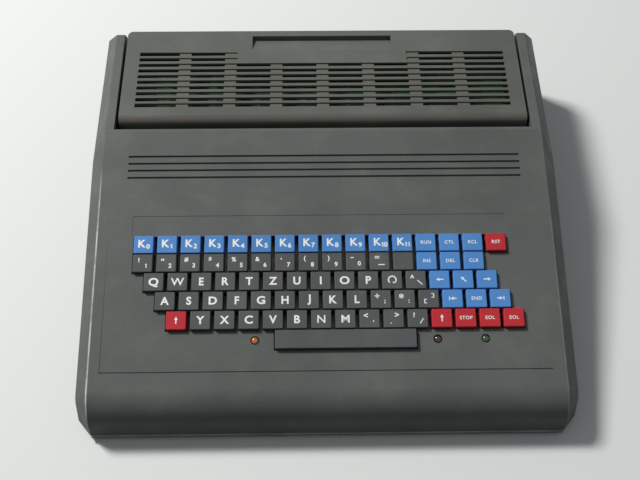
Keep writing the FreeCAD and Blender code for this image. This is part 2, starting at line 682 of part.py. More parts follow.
def mains_inlet():
    x, z = INLET_X, CONNECTOR_Z
    y1 = PANEL_PLATE[3]
    body = box(x - INLET_HALF_W, x + INLET_HALF_W, y1 - 20, y1, z - INLET_HALF_H, z + INLET_HALF_H)
    flange = box(x - INLET_HALF_W - 3, x + INLET_HALF_W + 3, y1, y1 + 2, z - INLET_HALF_H - 2,
                 z + INLET_HALF_H + 2)
    well = box(x - 11, x + 11, y1 - 14, y1 + 3, z - 7, z + 7)
    pins = [box(x + dx - 1, x + dx + 1, y1 - 15, y1 - 2, z + dz - 2, z + dz + 2)
            for dx, dz in ((-6.5, -1.5), (0, 2), (6.5, -1.5))]
    return merged([body.fuse(flange).cut(well)] + pins)


def fuse_holder():
    y1 = PANEL_PLATE[3]
    body = rod(FUSE_X, CONNECTOR_Z, y1 - 26, y1 + 1.5, FUSE_R)
    collar = rod(FUSE_X, CONNECTOR_Z, y1, y1 + 1.5, FUSE_R + 2)
    return body.fuse(collar).cut(rod(FUSE_X, CONNECTOR_Z, y1 - 24, y1 + 2, FUSE_BORE_R)).removeSplitter()


def fuse_cap():
    y1 = PANEL_PLATE[3] + 1.8
    knob = rod(FUSE_X, CONNECTOR_Z, y1, y1 + 7, FUSE_CAP_R)
    shank = rod(FUSE_X, CONNECTOR_Z, y1 - 12, y1, FUSE_BORE_R - 0.3)
    slot = box(FUSE_X - 4.5, FUSE_X + 4.5, y1 + 5.5, y1 + 8, CONNECTOR_Z - 0.7, CONNECTOR_Z + 0.7)
    return knob.fuse(shank).cut(slot).removeSplitter()


def power_switch():
    x, z = SWITCH_X, CONNECTOR_Z
    y1 = PANEL_PLATE[3]
    body = box(x - SWITCH_HALF_W, x + SWITCH_HALF_W, y1 - 18, y1, z - SWITCH_HALF_H, z + SWITCH_HALF_H)
    frame = box(x - SWITCH_HALF_W - 2, x + SWITCH_HALF_W + 2, y1, y1 + 2, z - SWITCH_HALF_H - 2,
                z + SWITCH_HALF_H + 2)
    well = box(x - 9, x + 9, y1 - 12, y1 + 3, z - 5.5, z + 5.5)
    return body.fuse(frame).cut(well).removeSplitter()


def power_rocker():
    """Rocker turning about the vertical pin line through its hub."""
    y1 = PANEL_PLATE[3]
    hub = Part.makeCylinder(5.5, 10, V(SWITCH_X, y1 - 3, CONNECTOR_Z - 5))
    plan = [V(SWITCH_X - 7.8, y1 - 3, 0), V(SWITCH_X - 8.2, y1 + 4.4, 0), V(SWITCH_X, y1 + 2.0, 0),
            V(SWITCH_X + 8.2, y1 + 4.4, 0), V(SWITCH_X + 7.8, y1 - 3, 0)]
    tilt = Part.Face(Part.makePolygon(plan + [plan[0]])).extrude(V(0, 0, 10))
    tilt.translate(V(0, 0, CONNECTOR_Z - 5))
    rocker = hub.fuse(tilt).removeSplitter()
    rocker.rotate(V(SWITCH_X, y1 - 3, 0), V(0, 0, 1), -ROCKER_TILT)
    return rocker


def din_sockets():
    y1 = PANEL_PLATE[3]
    sockets = []
    for x in DIN_X:
        body = rod(x, CONNECTOR_Z, y1 - 14, y1 + 1.2, DIN_R)
        rear = box(x - 9, x + 9, y1 - 14, y1 - 3, MAIN_BOARD[5], CONNECTOR_Z + 9)
        face = rod(x, CONNECTOR_Z, y1 - 8, y1 + 2, DIN_R - 1)
        core = rod(x, CONNECTOR_Z, y1 - 9, y1 + 0.6, DIN_R - 2)
        pins = []
        for degrees in (0, 45, 90, 135, 180):
            a = math.radians(degrees)
            px = x + DIN_PIN_RING * math.cos(a)
            pz = CONNECTOR_Z - DIN_PIN_RING * math.sin(a)
            pins.append(box(px - 0.7, px + 0.7, y1 - 6, y1 + 2, pz - 0.7, pz + 0.7))
        sockets.append(body.fuse(rear).cut(face).fuse(core).cut(pins))
    return group(sockets)


def modulator():
    x0, x1, y0, y1, z0, z1 = MODULATOR
    can = box(x0, x1, y0, y1, z0, z1)
    return can.fuse(box(x0 + 4, x1 - 4, y0 + 4, y1 - 4, MAIN_BOARD[5], z0)).removeSplitter()


def coax_socket():
    y0 = MODULATOR[3]
    y1 = PANEL_PLATE[3]
    barrel = rod(COAX_X, CONNECTOR_Z, y0, y1 + 3, COAX_R)
    bore = rod(COAX_X, CONNECTOR_Z, y0 + 2, y1 + 4, COAX_R - 1)
    pin = rod(COAX_X, CONNECTOR_Z, y0 + 1, y1 + 1, 1.2)
    return barrel.cut(bore).fuse(pin).removeSplitter()


def bus_sockets():
    y1 = PANEL_PLATE[3]
    sockets = []
    for x in BUS_X:
        body = box(x - BUS_HALF_W, x + BUS_HALF_W, y1 - 13, y1 + 1, CONNECTOR_Z - BUS_HALF_H,
                   CONNECTOR_Z + BUS_HALF_H)
        leg = box(x - BUS_HALF_W + 2, x + BUS_HALF_W - 2, y1 - 13, y1 - 9, MAIN_BOARD[5],
                  CONNECTOR_Z - BUS_HALF_H)
        slot = box(x - BUS_HALF_W + 4, x + BUS_HALF_W - 4, y1 - 8, y1 + 2, CONNECTOR_Z - 1.5,
                   CONNECTOR_Z + 1.5)
        sockets.append(body.fuse(leg).cut(slot))
    return group(sockets)


def module_socket():
    body = box(*MODULE_SOCKET).cut(box(*SOCKET_SLOT))
    return body


def speaker():
    x, y = SPEAKER_SPOT
    basket = post(x, y, SEAM_Z, SEAM_Z + 3, SPEAKER_R)
    cone = Part.makeCone(SPEAKER_R - 4, 12, 6, V(x, y, SEAM_Z + 3))
    magnet = post(x, y, SEAM_Z + 9, SEAM_Z + 17, 14)
    return merged([basket, cone, magnet])


def ribbon_cable():
    """Flat cable from the underside of the key board to the main board."""
    top = FIELD_S + 2
    w = SWITCH_BOTTOM - BOARD_T
    y0 = BEND_Y + top * COS_DECK - w * SIN_DECK
    z0 = TOP_Z + top * SIN_DECK + w * COS_DECK
    y1 = MAIN_BOARD[2] + 6
    z1 = MAIN_BOARD[5]
    bend = 26.0
    path = [V(0, y0, z0 - 0.4), V(0, y0, bend), V(0, y1, bend), V(0, y1, z1),
            V(0, y1 + 1, z1), V(0, y1 + 1, bend + 1), V(0, y0 + 1, bend + 1), V(0, y0 + 1, z0 - 0.2)]
    flat = Part.Face(Part.makePolygon(path + [path[0]])).extrude(V(40, 0, 0))
    flat.translate(V(-110, 0, 0))
    return flat


save("top_cover", top_cover())
save("bottom_tray", bottom_tray())
save("rear_panel", rear_panel())
save("feet", feet())
save("case_screws", case_screws())
save("module_case", module_case())
save("module_base", module_base())
save("module_board", module_board())
save("module_chips", module_chips())
save("module_socket", module_socket())
save("riser_board", box(*RISER))
save("main_board", main_board())
save("logic_chips", logic_chips())
save("memory_chips", memory_chips())
save("bus_sockets", bus_sockets())
save("din_sockets", din_sockets())
save("coax_socket", coax_socket())
save("modulator", modulator())
core, coil = transformer()
save("transformer_core", core)
save("transformer_coil", coil)
save("capacitors", capacitors())
save("heatsink", heatsink())
save("regulators", regulators())
save("fuse_holder", fuse_holder())
save("fuse_cap", fuse_cap())
save("mains_inlet", mains_inlet())
save("power_switch", power_switch())
save("power_rocker", power_rocker())
save("speaker", speaker())
save("key_plate", key_plate())
save("key_board", key_board())
save("key_switches", key_switches())
for name, x in zip(("lamp_amber", "lamp_red", "lamp_green"), LAMP_X):
    save(name, lamp(x))
save("ribbon_cable", ribbon_cable())
keys()
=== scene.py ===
import bpy
import bmesh
import json
import math
from mathutils import Matrix, Vector


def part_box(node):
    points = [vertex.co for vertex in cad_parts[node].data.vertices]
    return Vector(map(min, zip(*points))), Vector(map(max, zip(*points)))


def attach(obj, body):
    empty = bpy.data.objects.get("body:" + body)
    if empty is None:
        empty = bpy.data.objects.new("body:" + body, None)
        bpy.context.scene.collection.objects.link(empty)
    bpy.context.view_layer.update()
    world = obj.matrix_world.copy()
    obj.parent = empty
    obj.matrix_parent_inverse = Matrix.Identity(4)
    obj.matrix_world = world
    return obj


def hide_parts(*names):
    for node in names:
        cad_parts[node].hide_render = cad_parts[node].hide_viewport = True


# Home computer with a sloping keyboard deck and a plug-in program module: looks and camera.
# Sizes are millimetres, made metres by MM where they enter a mesh.
MM = 0.001

# The sloping deck: x across, s along the slope from its rear bend, w up from the deck
DECK_ANGLE = 12.0
BEND_Y = 52.85
BEND_Z = 89.0
PITCH_X = 19.05
PITCH_S = 16.08
FIELD_X = -156.9
FIELD_S = -96.0
ROW_SHIFT = (0, 0, 0.5, 1.0, 1.5)
SPACE_CELLS = (6, 12)
CAP_W = 16.3
CAP_D = 14.6
CAP_TOP = 3.5
CAP_BOTTOM = -5.5
# A cap's rings from low to high: height, how far in from its sides and its ends, corner radius
CAP_RINGS = ((CAP_BOTTOM, 0.0, 0.0, 0.6), (CAP_TOP - 0.75, 0.12, -0.25, 0.7),
             (CAP_TOP - 0.3, 0.32, -0.15, 0.75), (CAP_TOP - 0.08, 0.6, 0.05, 0.75),
             (CAP_TOP, 0.85, 0.25, 0.8))
STEM_HALF = 2.4
STEM_R = 0.4
STEM_END = -17.0
STEM_TOP = CAP_BOTTOM + 0.01
LAMP_S = -184.3
LAMP_R = 2.9
LAMP_TOP = 0.6
LAMP_DOME_H = 1.8
LAMP_FLANGE = 0.35
LAMP_FLANGE_W = (-13.5, -12.0)
LAMP_SIDES = 32
DOME_STEPS = 7
DOME_STEP_DEGREES = 14
CASE_EDGE_X = 186.2
PANEL_FRONT_S = -209.7
PANEL_REAR_S = -70.0
PANEL_X = (-177.2, 175.4)
PANEL_STEP = 0.9
PANEL_STEP_KEPT = 0.45
# The black strip of painted shade at the key panel's front edge: its width and its lift
GAP_SHADE_W = 0.9
GAP_SHADE_LIFT = 0.04
GROOVE_S = (-23.4, -30.0, -36.4, -43.0)
GROOVE_HALF = 0.7
GROOVE_SPREAD = 0.25
RELIEF_DEPTH = 2.4
# How near to a groove's wall, to the deck and to the panel's front a vertex counts as on it
WALL_SLACK = 0.05
DECK_SLACK = 0.1
PANEL_SLACK = 0.5
PANEL_FLOOR_W = (-1.0, -0.02)

# Where the case's outer edges lie: flanks outside this x, the bay behind and above these places
FLANK_X = 177.9
BAY_Y = 55.0
BAY_Z = 40.0
REAR_CORNER_Y = 176.0
REAR_CORNER_X = 186.3

# The module's vents and front edge, along Y
VENT_FIRST_Y = 82.65
VENT_PITCH = 6.7
VENT_ROWS = 10
VENT_HALF = 1.5
VENT_SPREAD = 0.35
MODULE_FRONT_Y = 65.15
VENT_DEPTH = 3.0
NOSE_CAD_R = 4.0
NOSE_R = 8.0

# Tolerances, in metres: vertices that are one, and places that are the same
SAME_VERTEX = 2e-6
SAME_PLACE = 1e-5

DECK = Matrix.Translation((0, BEND_Y * MM, BEND_Z * MM)) @ Matrix.Rotation(
    math.radians(DECK_ANGLE), 4, "X")

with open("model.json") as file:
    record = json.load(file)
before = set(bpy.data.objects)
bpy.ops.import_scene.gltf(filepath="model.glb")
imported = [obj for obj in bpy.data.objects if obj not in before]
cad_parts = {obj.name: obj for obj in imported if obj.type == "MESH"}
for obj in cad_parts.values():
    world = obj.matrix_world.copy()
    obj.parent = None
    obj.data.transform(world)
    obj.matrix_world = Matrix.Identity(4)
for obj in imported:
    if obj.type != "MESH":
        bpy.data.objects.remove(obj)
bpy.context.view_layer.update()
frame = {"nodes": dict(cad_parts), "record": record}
NODES = frame["nodes"]
BODY_OF = {name: body for body, names in frame["record"]["behaviour"]["bodies"].items()
           for name in names}
SLOT_OF = {part["node"]: part["material_slot"] for part in frame["record"]["subparts"]}


# Colours

def colour(red, green, blue):
    """A colour given as it looks on a screen, 0 to 255, as the linear values that shaders take."""
    parts = [c / 255 for c in (red, green, blue)]
    return tuple(c / 12.92 if c <= 0.04045 else ((c + 0.055) / 1.055) ** 2.4 for c in parts) + (1,)


def darker(shade, share):
    """The same colour with this share of its light."""
    return tuple(c * share for c in shade[:3]) + (1,)


CASE_GREY = colour(95, 97, 94)
MODULE_GREY = colour(93, 96, 90)
TRAY_GREY = colour(104, 104, 98)
KEY_GREY = colour(87, 89, 89)
KEY_BLUE = colour(84, 138, 200)
KEY_RED = colour(188, 50, 57)
LEGEND_WHITE = colour(240, 240, 236)
RUBBED_INK = colour(150, 150, 148)
BLACK_PLASTIC = colour(34, 33, 34)
RUBBER = colour(30, 29, 29)
BOARD_GREEN = colour(38, 84, 52)
BOARD_SHADE = colour(33, 76, 47)
TRACK_GREEN = colour(74, 122, 62)
GOLD = colour(214, 170, 82)
FLOOR_PALE = colour(226, 228, 224)
FLOOR_FOR_LIGHT = colour(120, 120, 118)
RUBBED_GREY = colour(146, 146, 138)
DUST_GREY = colour(168, 168, 160)
# Colour of the painted highlight along the worn long edges of the case top
WORN_EDGE_HIGHLIGHT = colour(214, 214, 208)


# Shader groups that the materials share

def new_group(name, inputs, outputs):
    """A shader group; inputs are (label, kind, value) and outputs (label, kind)."""
    tree = bpy.data.node_groups.new(name, "ShaderNodeTree")
    for label, kind, value in inputs:
        socket = tree.interface.new_socket(label, in_out="INPUT", socket_type=kind)
        socket.default_value = value
    for label, kind in outputs:
        tree.interface.new_socket(label, in_out="OUTPUT", socket_type=kind)
    return tree, tree.nodes.new("NodeGroupInput"), tree.nodes.new("NodeGroupOutput")


def add(tree, kind, **values):
    """A node with its settings, and its inputs set by name with an `in_` prefix."""
    node = tree.nodes.new(kind)
    for key, value in values.items():
        if key.startswith("in_"):
            node.inputs[key[3:].replace("_", " ")].default_value = value
        else:
            setattr(node, key, value)
    return node


def object_coordinates(tree):
    return add(tree, "ShaderNodeTexCoord").outputs["Object"]


def noise(tree, vector, scale, detail=4.0, roughness=0.5):
    node = add(tree, "ShaderNodeTexNoise", in_Scale=scale, in_Detail=detail, in_Roughness=roughness)
    tree.links.new(vector, node.inputs["Vector"])
    return node.outputs["Fac"]


def mapped(tree, value, low, high, to_low=0.0, to_high=1.0):
    node = add(tree, "ShaderNodeMapRange", in_From_Min=low, in_From_Max=high, in_To_Min=to_low,
               in_To_Max=to_high)
    tree.links.new(value, node.inputs["Value"])
    return node.outputs["Result"]


def put(tree, value, socket):
    """Links another node's output into a socket, or sets a plain value on it."""
    if isinstance(value, bpy.types.NodeSocket):
        tree.links.new(value, socket)
    else:
        socket.default_value = value


def maths(tree, operation, first, second):
    node = add(tree, "ShaderNodeMath", operation=operation)
    put(tree, first, node.inputs[0])
    put(tree, second, node.inputs[1])
    return node.outputs[0]


def mixed(tree, factor, first, second):
    """Colour mix; its colour sockets are the seventh and the eighth of the node."""
    node = add(tree, "ShaderNodeMix", data_type="RGBA")
    put(tree, factor, node.inputs[0])
    put(tree, first, node.inputs[6])
    put(tree, second, node.inputs[7])
    return node.outputs[2]


def dress(tree, shader, base, roughness, height=None, strength=0.0, distance=0.0):
    """Feeds the shader's colour and roughness, and its relief where a height is given."""
    tree.links.new(base, shader.inputs["Base Color"])
    tree.links.new(roughness, shader.inputs["Roughness"])
    if height:
        relief = add(tree, "ShaderNodeBump", in_Strength=strength, in_Distance=distance)
        tree.links.new(height, relief.inputs["Height"])
        tree.links.new(relief.outputs["Normal"], shader.inputs["Normal"])


def make_moulded_group():
    """Moulded plastic: spark-eroded grain, faint clouding, rubbed patches and dust."""
    tree, ins, outs = new_group(
        "moulded_plastic",
        (("Colour", "NodeSocketColor", (0.1, 0.1, 0.1, 1)), ("Grain size", "NodeSocketFloat", 1700.0),
         ("Rubbed", "NodeSocketFloat", 0.1), ("Dust", "NodeSocketFloat", 0.1),
         ("Roughness", "NodeSocketFloat", 0.55)),
        (("Colour", "NodeSocketColor"), ("Roughness", "NodeSocketFloat"),
         ("Height", "NodeSocketFloat")))
    place = object_coordinates(tree)
    grain = add(tree, "ShaderNodeTexNoise", in_Detail=2.0, in_Roughness=0.55)
    tree.links.new(place, grain.inputs["Vector"])
    tree.links.new(ins.outputs["Grain size"], grain.inputs["Scale"])
    clouds = mapped(tree, noise(tree, place, 9.0, 5.0, 0.6), 0.35, 0.65, 0.9, 1.1)
    blotches = mapped(tree, noise(tree, place, 34.0, 6.0, 0.65), 0.5, 0.72)
    specks = mapped(tree, noise(tree, place, 420.0, 2.0, 0.5), 0.68, 0.78)
    shade = add(tree, "ShaderNodeVectorMath", operation="SCALE")
    tree.links.new(ins.outputs["Colour"], shade.inputs[0])
    tree.links.new(clouds, shade.inputs["Scale"])
    rub = maths(tree, "MULTIPLY", blotches, ins.outputs["Rubbed"])
    dust = maths(tree, "MULTIPLY", specks, ins.outputs["Dust"])
    worn = mixed(tree, rub, shade.outputs[0], RUBBED_GREY)
    dusty = mixed(tree, dust, worn, DUST_GREY)
    tree.links.new(dusty, outs.inputs["Colour"])
    gloss = mapped(tree, blotches, 0.0, 1.0, 0.0, -0.12)
    grain_rough = mapped(tree, grain.outputs["Fac"], 0.3, 0.7, -0.05, 0.05)
    rough = maths(tree, "ADD", ins.outputs["Roughness"], maths(tree, "ADD", gloss, grain_rough))
    tree.links.new(rough, outs.inputs["Roughness"])
    tree.links.new(grain.outputs["Fac"], outs.inputs["Height"])
    return tree


def make_edge_wear_highlight_group():
    """Painted highlight along the two worn long edges of the case top, heaviest at the left, the side
    the lamp lights.
    """
    tree, ins, outs = new_group(
        "edge_wear_and_painted_highlight",
        (("Edge", "NodeSocketFloat", CASE_EDGE_X * MM), ("Width", "NodeSocketFloat", 0.001)),
        (("Mask", "NodeSocketFloat"),))
    place = object_coordinates(tree)
    axes = add(tree, "ShaderNodeSeparateXYZ")
    tree.links.new(place, axes.inputs[0])
    reach = maths(tree, "ABSOLUTE", axes.outputs["X"], 0.0)
    away = maths(tree, "ABSOLUTE", maths(tree, "SUBTRACT", reach, ins.outputs["Edge"]), 0.0)
    near = maths(tree, "SUBTRACT", 1.0, maths(tree, "DIVIDE", away, ins.outputs["Width"]))
    band = mapped(tree, near, 0.0, 0.8)
    patch = mapped(tree, noise(tree, place, 60.0, 5.0, 0.7), 0.34, 0.6, 0.3, 0.9)
    # Painted highlight: stronger at the left, where the lamp is
    left = mapped(tree, axes.outputs["X"], 0.1, -0.1, 0.35, 1.0)
    high = mapped(tree, axes.outputs["Z"], 0.02, 0.035)
    deck = mapped(tree, axes.outputs["Y"], 0.02, -0.02)
    side = maths(tree, "MULTIPLY", left, maths(tree, "MULTIPLY", high, deck))
    mask = maths(tree, "MULTIPLY", maths(tree, "MULTIPLY", band, patch), side)
    tree.links.new(mask, outs.inputs["Mask"])
    return tree


# Zones of painted light, as on the tray's lip, and of dust, as on the module's vents
def make_light_and_dust_zone_group():
    """A mask between two heights and in front of one place along Y, broken up by noise."""
    tree, ins, outs = new_group(
        "painted_light_and_dust_zone",
        (("Low", "NodeSocketFloat", 0.0), ("High", "NodeSocketFloat", 0.01),
         ("Front of", "NodeSocketFloat", 1.0)),
        (("Mask", "NodeSocketFloat"),))
    place = object_coordinates(tree)
    axes = add(tree, "ShaderNodeSeparateXYZ")
    tree.links.new(place, axes.inputs[0])
    above = maths(tree, "GREATER_THAN", axes.outputs["Z"], ins.outputs["Low"])
    below = maths(tree, "LESS_THAN", axes.outputs["Z"], ins.outputs["High"])
    ahead = maths(tree, "LESS_THAN", axes.outputs["Y"], ins.outputs["Front of"])
    patch = mapped(tree, noise(tree, place, 45.0, 5.0, 0.65), 0.3, 0.6, 0.4, 1.0)
    mask = maths(tree, "MULTIPLY", maths(tree, "MULTIPLY", above, below),
                 maths(tree, "MULTIPLY", ahead, patch))
    tree.links.new(mask, outs.inputs["Mask"])
    return tree


MOULDED = make_moulded_group()
EDGE_WEAR_HIGHLIGHT = make_edge_wear_highlight_group()
LIGHT_AND_DUST_ZONE = make_light_and_dust_zone_group()


# Materials

def new_material(name):
    material = bpy.data.materials.new(name)
    material.use_nodes = True
    tree = material.node_tree
    return material, tree, tree.nodes["Principled BSDF"]


PLASTIC_SPECULAR = 0.12
GRAIN_H = 0.00012
TRACK_W = 0.0003
TRACK_CELL = (0.0127, 0.00254)
METAL_GRAIN = 0.05
METAL_GRAIN_H = 0.0001
TARNISHED = 0.6
LENS_DEPTH = 0.35


def moulded(name, base, grain=1700.0, rubbed=0.1, dust=0.1, roughness=0.55, bump=0.12,
            highlit_worn_edges=False, zone=None):
    material, tree, shader = new_material(name)
    group = add(tree, "ShaderNodeGroup", node_tree=MOULDED, in_Colour=base, in_Grain_size=grain,
                in_Rubbed=rubbed, in_Dust=dust, in_Roughness=roughness)
    surface = group.outputs["Colour"]
    # Worn long edges with a painted highlight on them
    if highlit_worn_edges:
        overlay = add(tree, "ShaderNodeGroup", node_tree=EDGE_WEAR_HIGHLIGHT)
        surface = mixed(tree, overlay.outputs["Mask"], surface, WORN_EDGE_HIGHLIGHT)
    # A zone in its own colour: painted light on the tray's lip, dust on the module's vents
    if zone:
        low, high, front_of, tint = zone
        overlay = add(tree, "ShaderNodeGroup", node_tree=LIGHT_AND_DUST_ZONE, in_Low=low * MM, in_High=high * MM,
                   in_Front_of=front_of * MM)
        surface = mixed(tree, overlay.outputs["Mask"], surface, tint)
    shader.inputs["Specular IOR Level"].default_value = PLASTIC_SPECULAR
    dress(tree, shader, surface, group.outputs["Roughness"], group.outputs["Height"], bump, GRAIN_H)
    return material


def metal(name, base, roughness, brush=(900.0, 900.0, 900.0)):
    """Plated or bare metal with a rolled or turned grain and light tarnish."""
    material, tree, shader = new_material(name)
    place = object_coordinates(tree)
    stretch = add(tree, "ShaderNodeMapping", in_Scale=brush)
    tree.links.new(place, stretch.inputs["Vector"])
    streaks = noise(tree, stretch.outputs[0], 1.0, 3.0, 0.6)
    tarnish = mapped(tree, noise(tree, place, 60.0, 5.0, 0.6), 0.4, 0.75)
    shader.inputs["Metallic"].default_value = 1.0
    dress(tree, shader, mixed(tree, tarnish, base, darker(base, TARNISHED)),
          mapped(tree, streaks, 0.3, 0.7, roughness - 0.08, roughness + 0.1),
          streaks, METAL_GRAIN, METAL_GRAIN_H)
    return material


def circuit_board(name):
    """Lacquered board: copper tracks under green lacquer, drawn as a staggered grid."""
    material, tree, shader = new_material(name)
    place = object_coordinates(tree)
    tracks = add(tree, "ShaderNodeTexBrick", in_Scale=1.0, offset=0.5, in_Color1=BOARD_GREEN,
                 in_Color2=BOARD_SHADE, in_Mortar=TRACK_GREEN, in_Mortar_Size=TRACK_W,
                 in_Brick_Width=TRACK_CELL[0], in_Row_Height=TRACK_CELL[1])
    tree.links.new(place, tracks.inputs["Vector"])
    dress(tree, shader, tracks.outputs["Color"],
          mapped(tree, noise(tree, place, 80.0), 0.3, 0.7, 0.22, 0.4),
          height=tracks.outputs["Fac"], strength=0.4, distance=0.0001)
    return material


def lens(name, base):
    """Tinted lamp lens, unlit: deep colour, faint streaks inside, glossy skin."""
    material, tree, shader = new_material(name)
    place = object_coordinates(tree)
    swirl = mapped(tree, noise(tree, place, 700.0, 3.0), 0.3, 0.7)
    dress(tree, shader, mixed(tree, swirl, darker(base, LENS_DEPTH), base),
          mapped(tree, noise(tree, place, 200.0), 0.3, 0.7, 0.08, 0.2))
    shader.inputs["Coat Weight"].default_value = 0.6
    shader.inputs["Coat Roughness"].default_value = 0.06
    return material


def ink(name):
    """Printed legend: off-white, slightly rubbed so that the plastic shows through."""
    material, tree, shader = new_material(name)
    place = object_coordinates(tree)
    rubbed = mapped(tree, noise(tree, place, 900.0, 3.0, 0.6), 0.66, 0.8, 0.0, 0.5)
    dress(tree, shader, mixed(tree, rubbed, LEGEND_WHITE, RUBBED_INK),
          mapped(tree, rubbed, 0.0, 0.5, 0.4, 0.6))
    return material


def coil_wrap(name):
    """Varnished paper tape round the winding, with the edges of its turns."""
    material, tree, shader = new_material(name)
    place = object_coordinates(tree)
    turns = add(tree, "ShaderNodeTexWave", in_Scale=90.0, in_Distortion=1.5, bands_direction="Z")
    tree.links.new(place, turns.inputs["Vector"])
    dress(tree, shader, mixed(tree, turns.outputs["Fac"], colour(160, 112, 52), colour(198, 158, 92)),
          mapped(tree, turns.outputs["Fac"], 0.0, 1.0, 0.35, 0.55),
          height=turns.outputs["Fac"], strength=0.3, distance=0.0003)
    return material


def flat_cable(name):
    """Ribbon cable: grey strands side by side."""
    material, tree, shader = new_material(name)
    place = object_coordinates(tree)
    strands = add(tree, "ShaderNodeTexWave", in_Scale=125.0, bands_direction="X")
    tree.links.new(place, strands.inputs["Vector"])
    dress(tree, shader, mixed(tree, strands.outputs["Fac"], colour(96, 98, 100), colour(176, 178, 180)),
          mapped(tree, noise(tree, place, 150.0), 0.3, 0.7, 0.4, 0.55),
          height=strands.outputs["Fac"], strength=0.6, distance=0.0004)
    return material


# Zones of another colour: heights from and to, front of this place along Y (mm), and the colour
# Painted light: the pale top of the tray's front lip, where the light catches it
LIP_PAINTED_LIGHT = (6.2, 14.0, -186.4, colour(190, 188, 178))
VENT_DUST = (85.5, 88.3, 150.0, colour(104, 99, 88))

FINISH = {
    # The case's worn long edges carry a painted highlight
    "case": moulded("case_plastic", CASE_GREY, rubbed=0.12, dust=0.1, roughness=0.5, highlit_worn_edges=True),
    # The tray's front lip has painted light on its top
    "tray": moulded("tray_plastic", TRAY_GREY, rubbed=0.2, dust=0.3, roughness=0.6, zone=LIP_PAINTED_LIGHT),
    "module": moulded("module_plastic", MODULE_GREY, rubbed=0.1, dust=0.2, roughness=0.5,
                      zone=VENT_DUST),
    "panel": moulded("rear_plate", colour(82, 82, 80), grain=900.0, rubbed=0.25, roughness=0.45),
    "rubber": moulded("foot_rubber", RUBBER, grain=700.0, rubbed=0.2, dust=0.5, roughness=0.8, bump=0.3),
    "chip": moulded("chip_resin", colour(38, 37, 38), grain=2600.0, dust=0.05, roughness=0.6),
    "black_plastic": moulded("socket_plastic", BLACK_PLASTIC, grain=1400.0, roughness=0.45),
    "rocker": moulded("rocker_plastic", colour(28, 28, 29), grain=1400.0, rubbed=0.3, roughness=0.3),
    "speaker": moulded("speaker_paper", colour(52, 48, 44), grain=600.0, roughness=0.85, bump=0.4),
    "key_grey": moulded("key_grey_plastic", KEY_GREY, grain=2100.0, rubbed=0.12, dust=0.1,
                        roughness=0.48),
    "key_blue": moulded("key_blue_plastic", KEY_BLUE, grain=2100.0, rubbed=0.03, dust=0.03,
                        roughness=0.48),
    "key_red": moulded("key_red_plastic", KEY_RED, grain=2100.0, rubbed=0.03, dust=0.03,
                       roughness=0.48),
    "steel": metal("screw_steel", colour(150, 148, 142), 0.38),
    "nickel": metal("nickel_plate", colour(196, 192, 182), 0.22),
    "sheet_steel": metal("laminated_steel", colour(118, 112, 104), 0.45, brush=(40.0, 1600.0, 1600.0)),
    "can": metal("capacitor_can", colour(170, 172, 176), 0.3, brush=(1600.0, 1600.0, 60.0)),
    "aluminium": metal("black_aluminium", colour(90, 90, 92), 0.5, brush=(60.0, 60.0, 1400.0)),
    "board": circuit_board("board_lacquer"),
    "coil": coil_wrap("winding_tape"),
    "ribbon": flat_cable("ribbon_strands"),
    "lens_amber": lens("lamp_lens_amber", colour(196, 112, 24)),
    "lens_red": lens("lamp_lens_red", colour(56, 34, 31)),
    "lens_green": lens("lamp_lens_green", colour(44, 84, 40)),
}
LEGEND_INK = ink("legend_ink")
GOLD_PLATE = metal("contact_gold", GOLD, 0.25)


# Meshes

# Planes of more square metres than this are broad; edges that fold less than this aren't rounded
BROAD_PLANE = 0.003
LEAST_FOLD = math.radians(25)


def mesh_of(bm, name, place=None):
    """The built form as a mesh, moved to its place."""
    mesh = bpy.data.meshes.new(name)
    bm.to_mesh(mesh)
    bm.free()
    if place:
        mesh.transform(place)
    return mesh


def linked(name, data):
    """A new object of the scene."""
    thing = bpy.data.objects.new(name, data)
    bpy.context.scene.collection.objects.link(thing)
    return thing


def level_planes(mesh):
    """Exact normals on faces in a plane of over BROAD_PLANE square metres, which no groove shades."""
    facings = [tuple(round(c, 3) for c in polygon.normal) for polygon in mesh.polygons]
    areas = {}
    for facing, polygon in zip(facings, mesh.polygons):
        areas[facing] = areas.get(facing, 0.0) + polygon.area
    normals = [corner.vector.copy() for corner in mesh.corner_normals]
    for facing, polygon in zip(facings, mesh.polygons):
        if areas[facing] > BROAD_PLANE:
            for corner in polygon.loop_indices:
                normals[corner] = polygon.normal.copy()
    mesh.normals_split_custom_set(normals)


def finished(name, mesh, body, material, sharp=30.0):
    """A piece with its place in its mesh, smooth but for its sharp edges, riding on its body."""
    for polygon in mesh.polygons:
        polygon.use_smooth = True
    mesh.set_sharp_from_angle(angle=math.radians(sharp))
    mesh.materials.clear()
    mesh.materials.append(material)
    piece = linked(name, mesh)
    flats = piece.modifiers.new("flats", "WEIGHTED_NORMAL")
    flats.keep_sharp = True
    flats.weight = 90
    bpy.context.view_layer.update()
    depsgraph = bpy.context.evaluated_depsgraph_get()
    piece.data = bpy.data.meshes.new_from_object(piece.evaluated_get(depsgraph))
    piece.modifiers.remove(flats)
    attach(piece, body)
    return piece


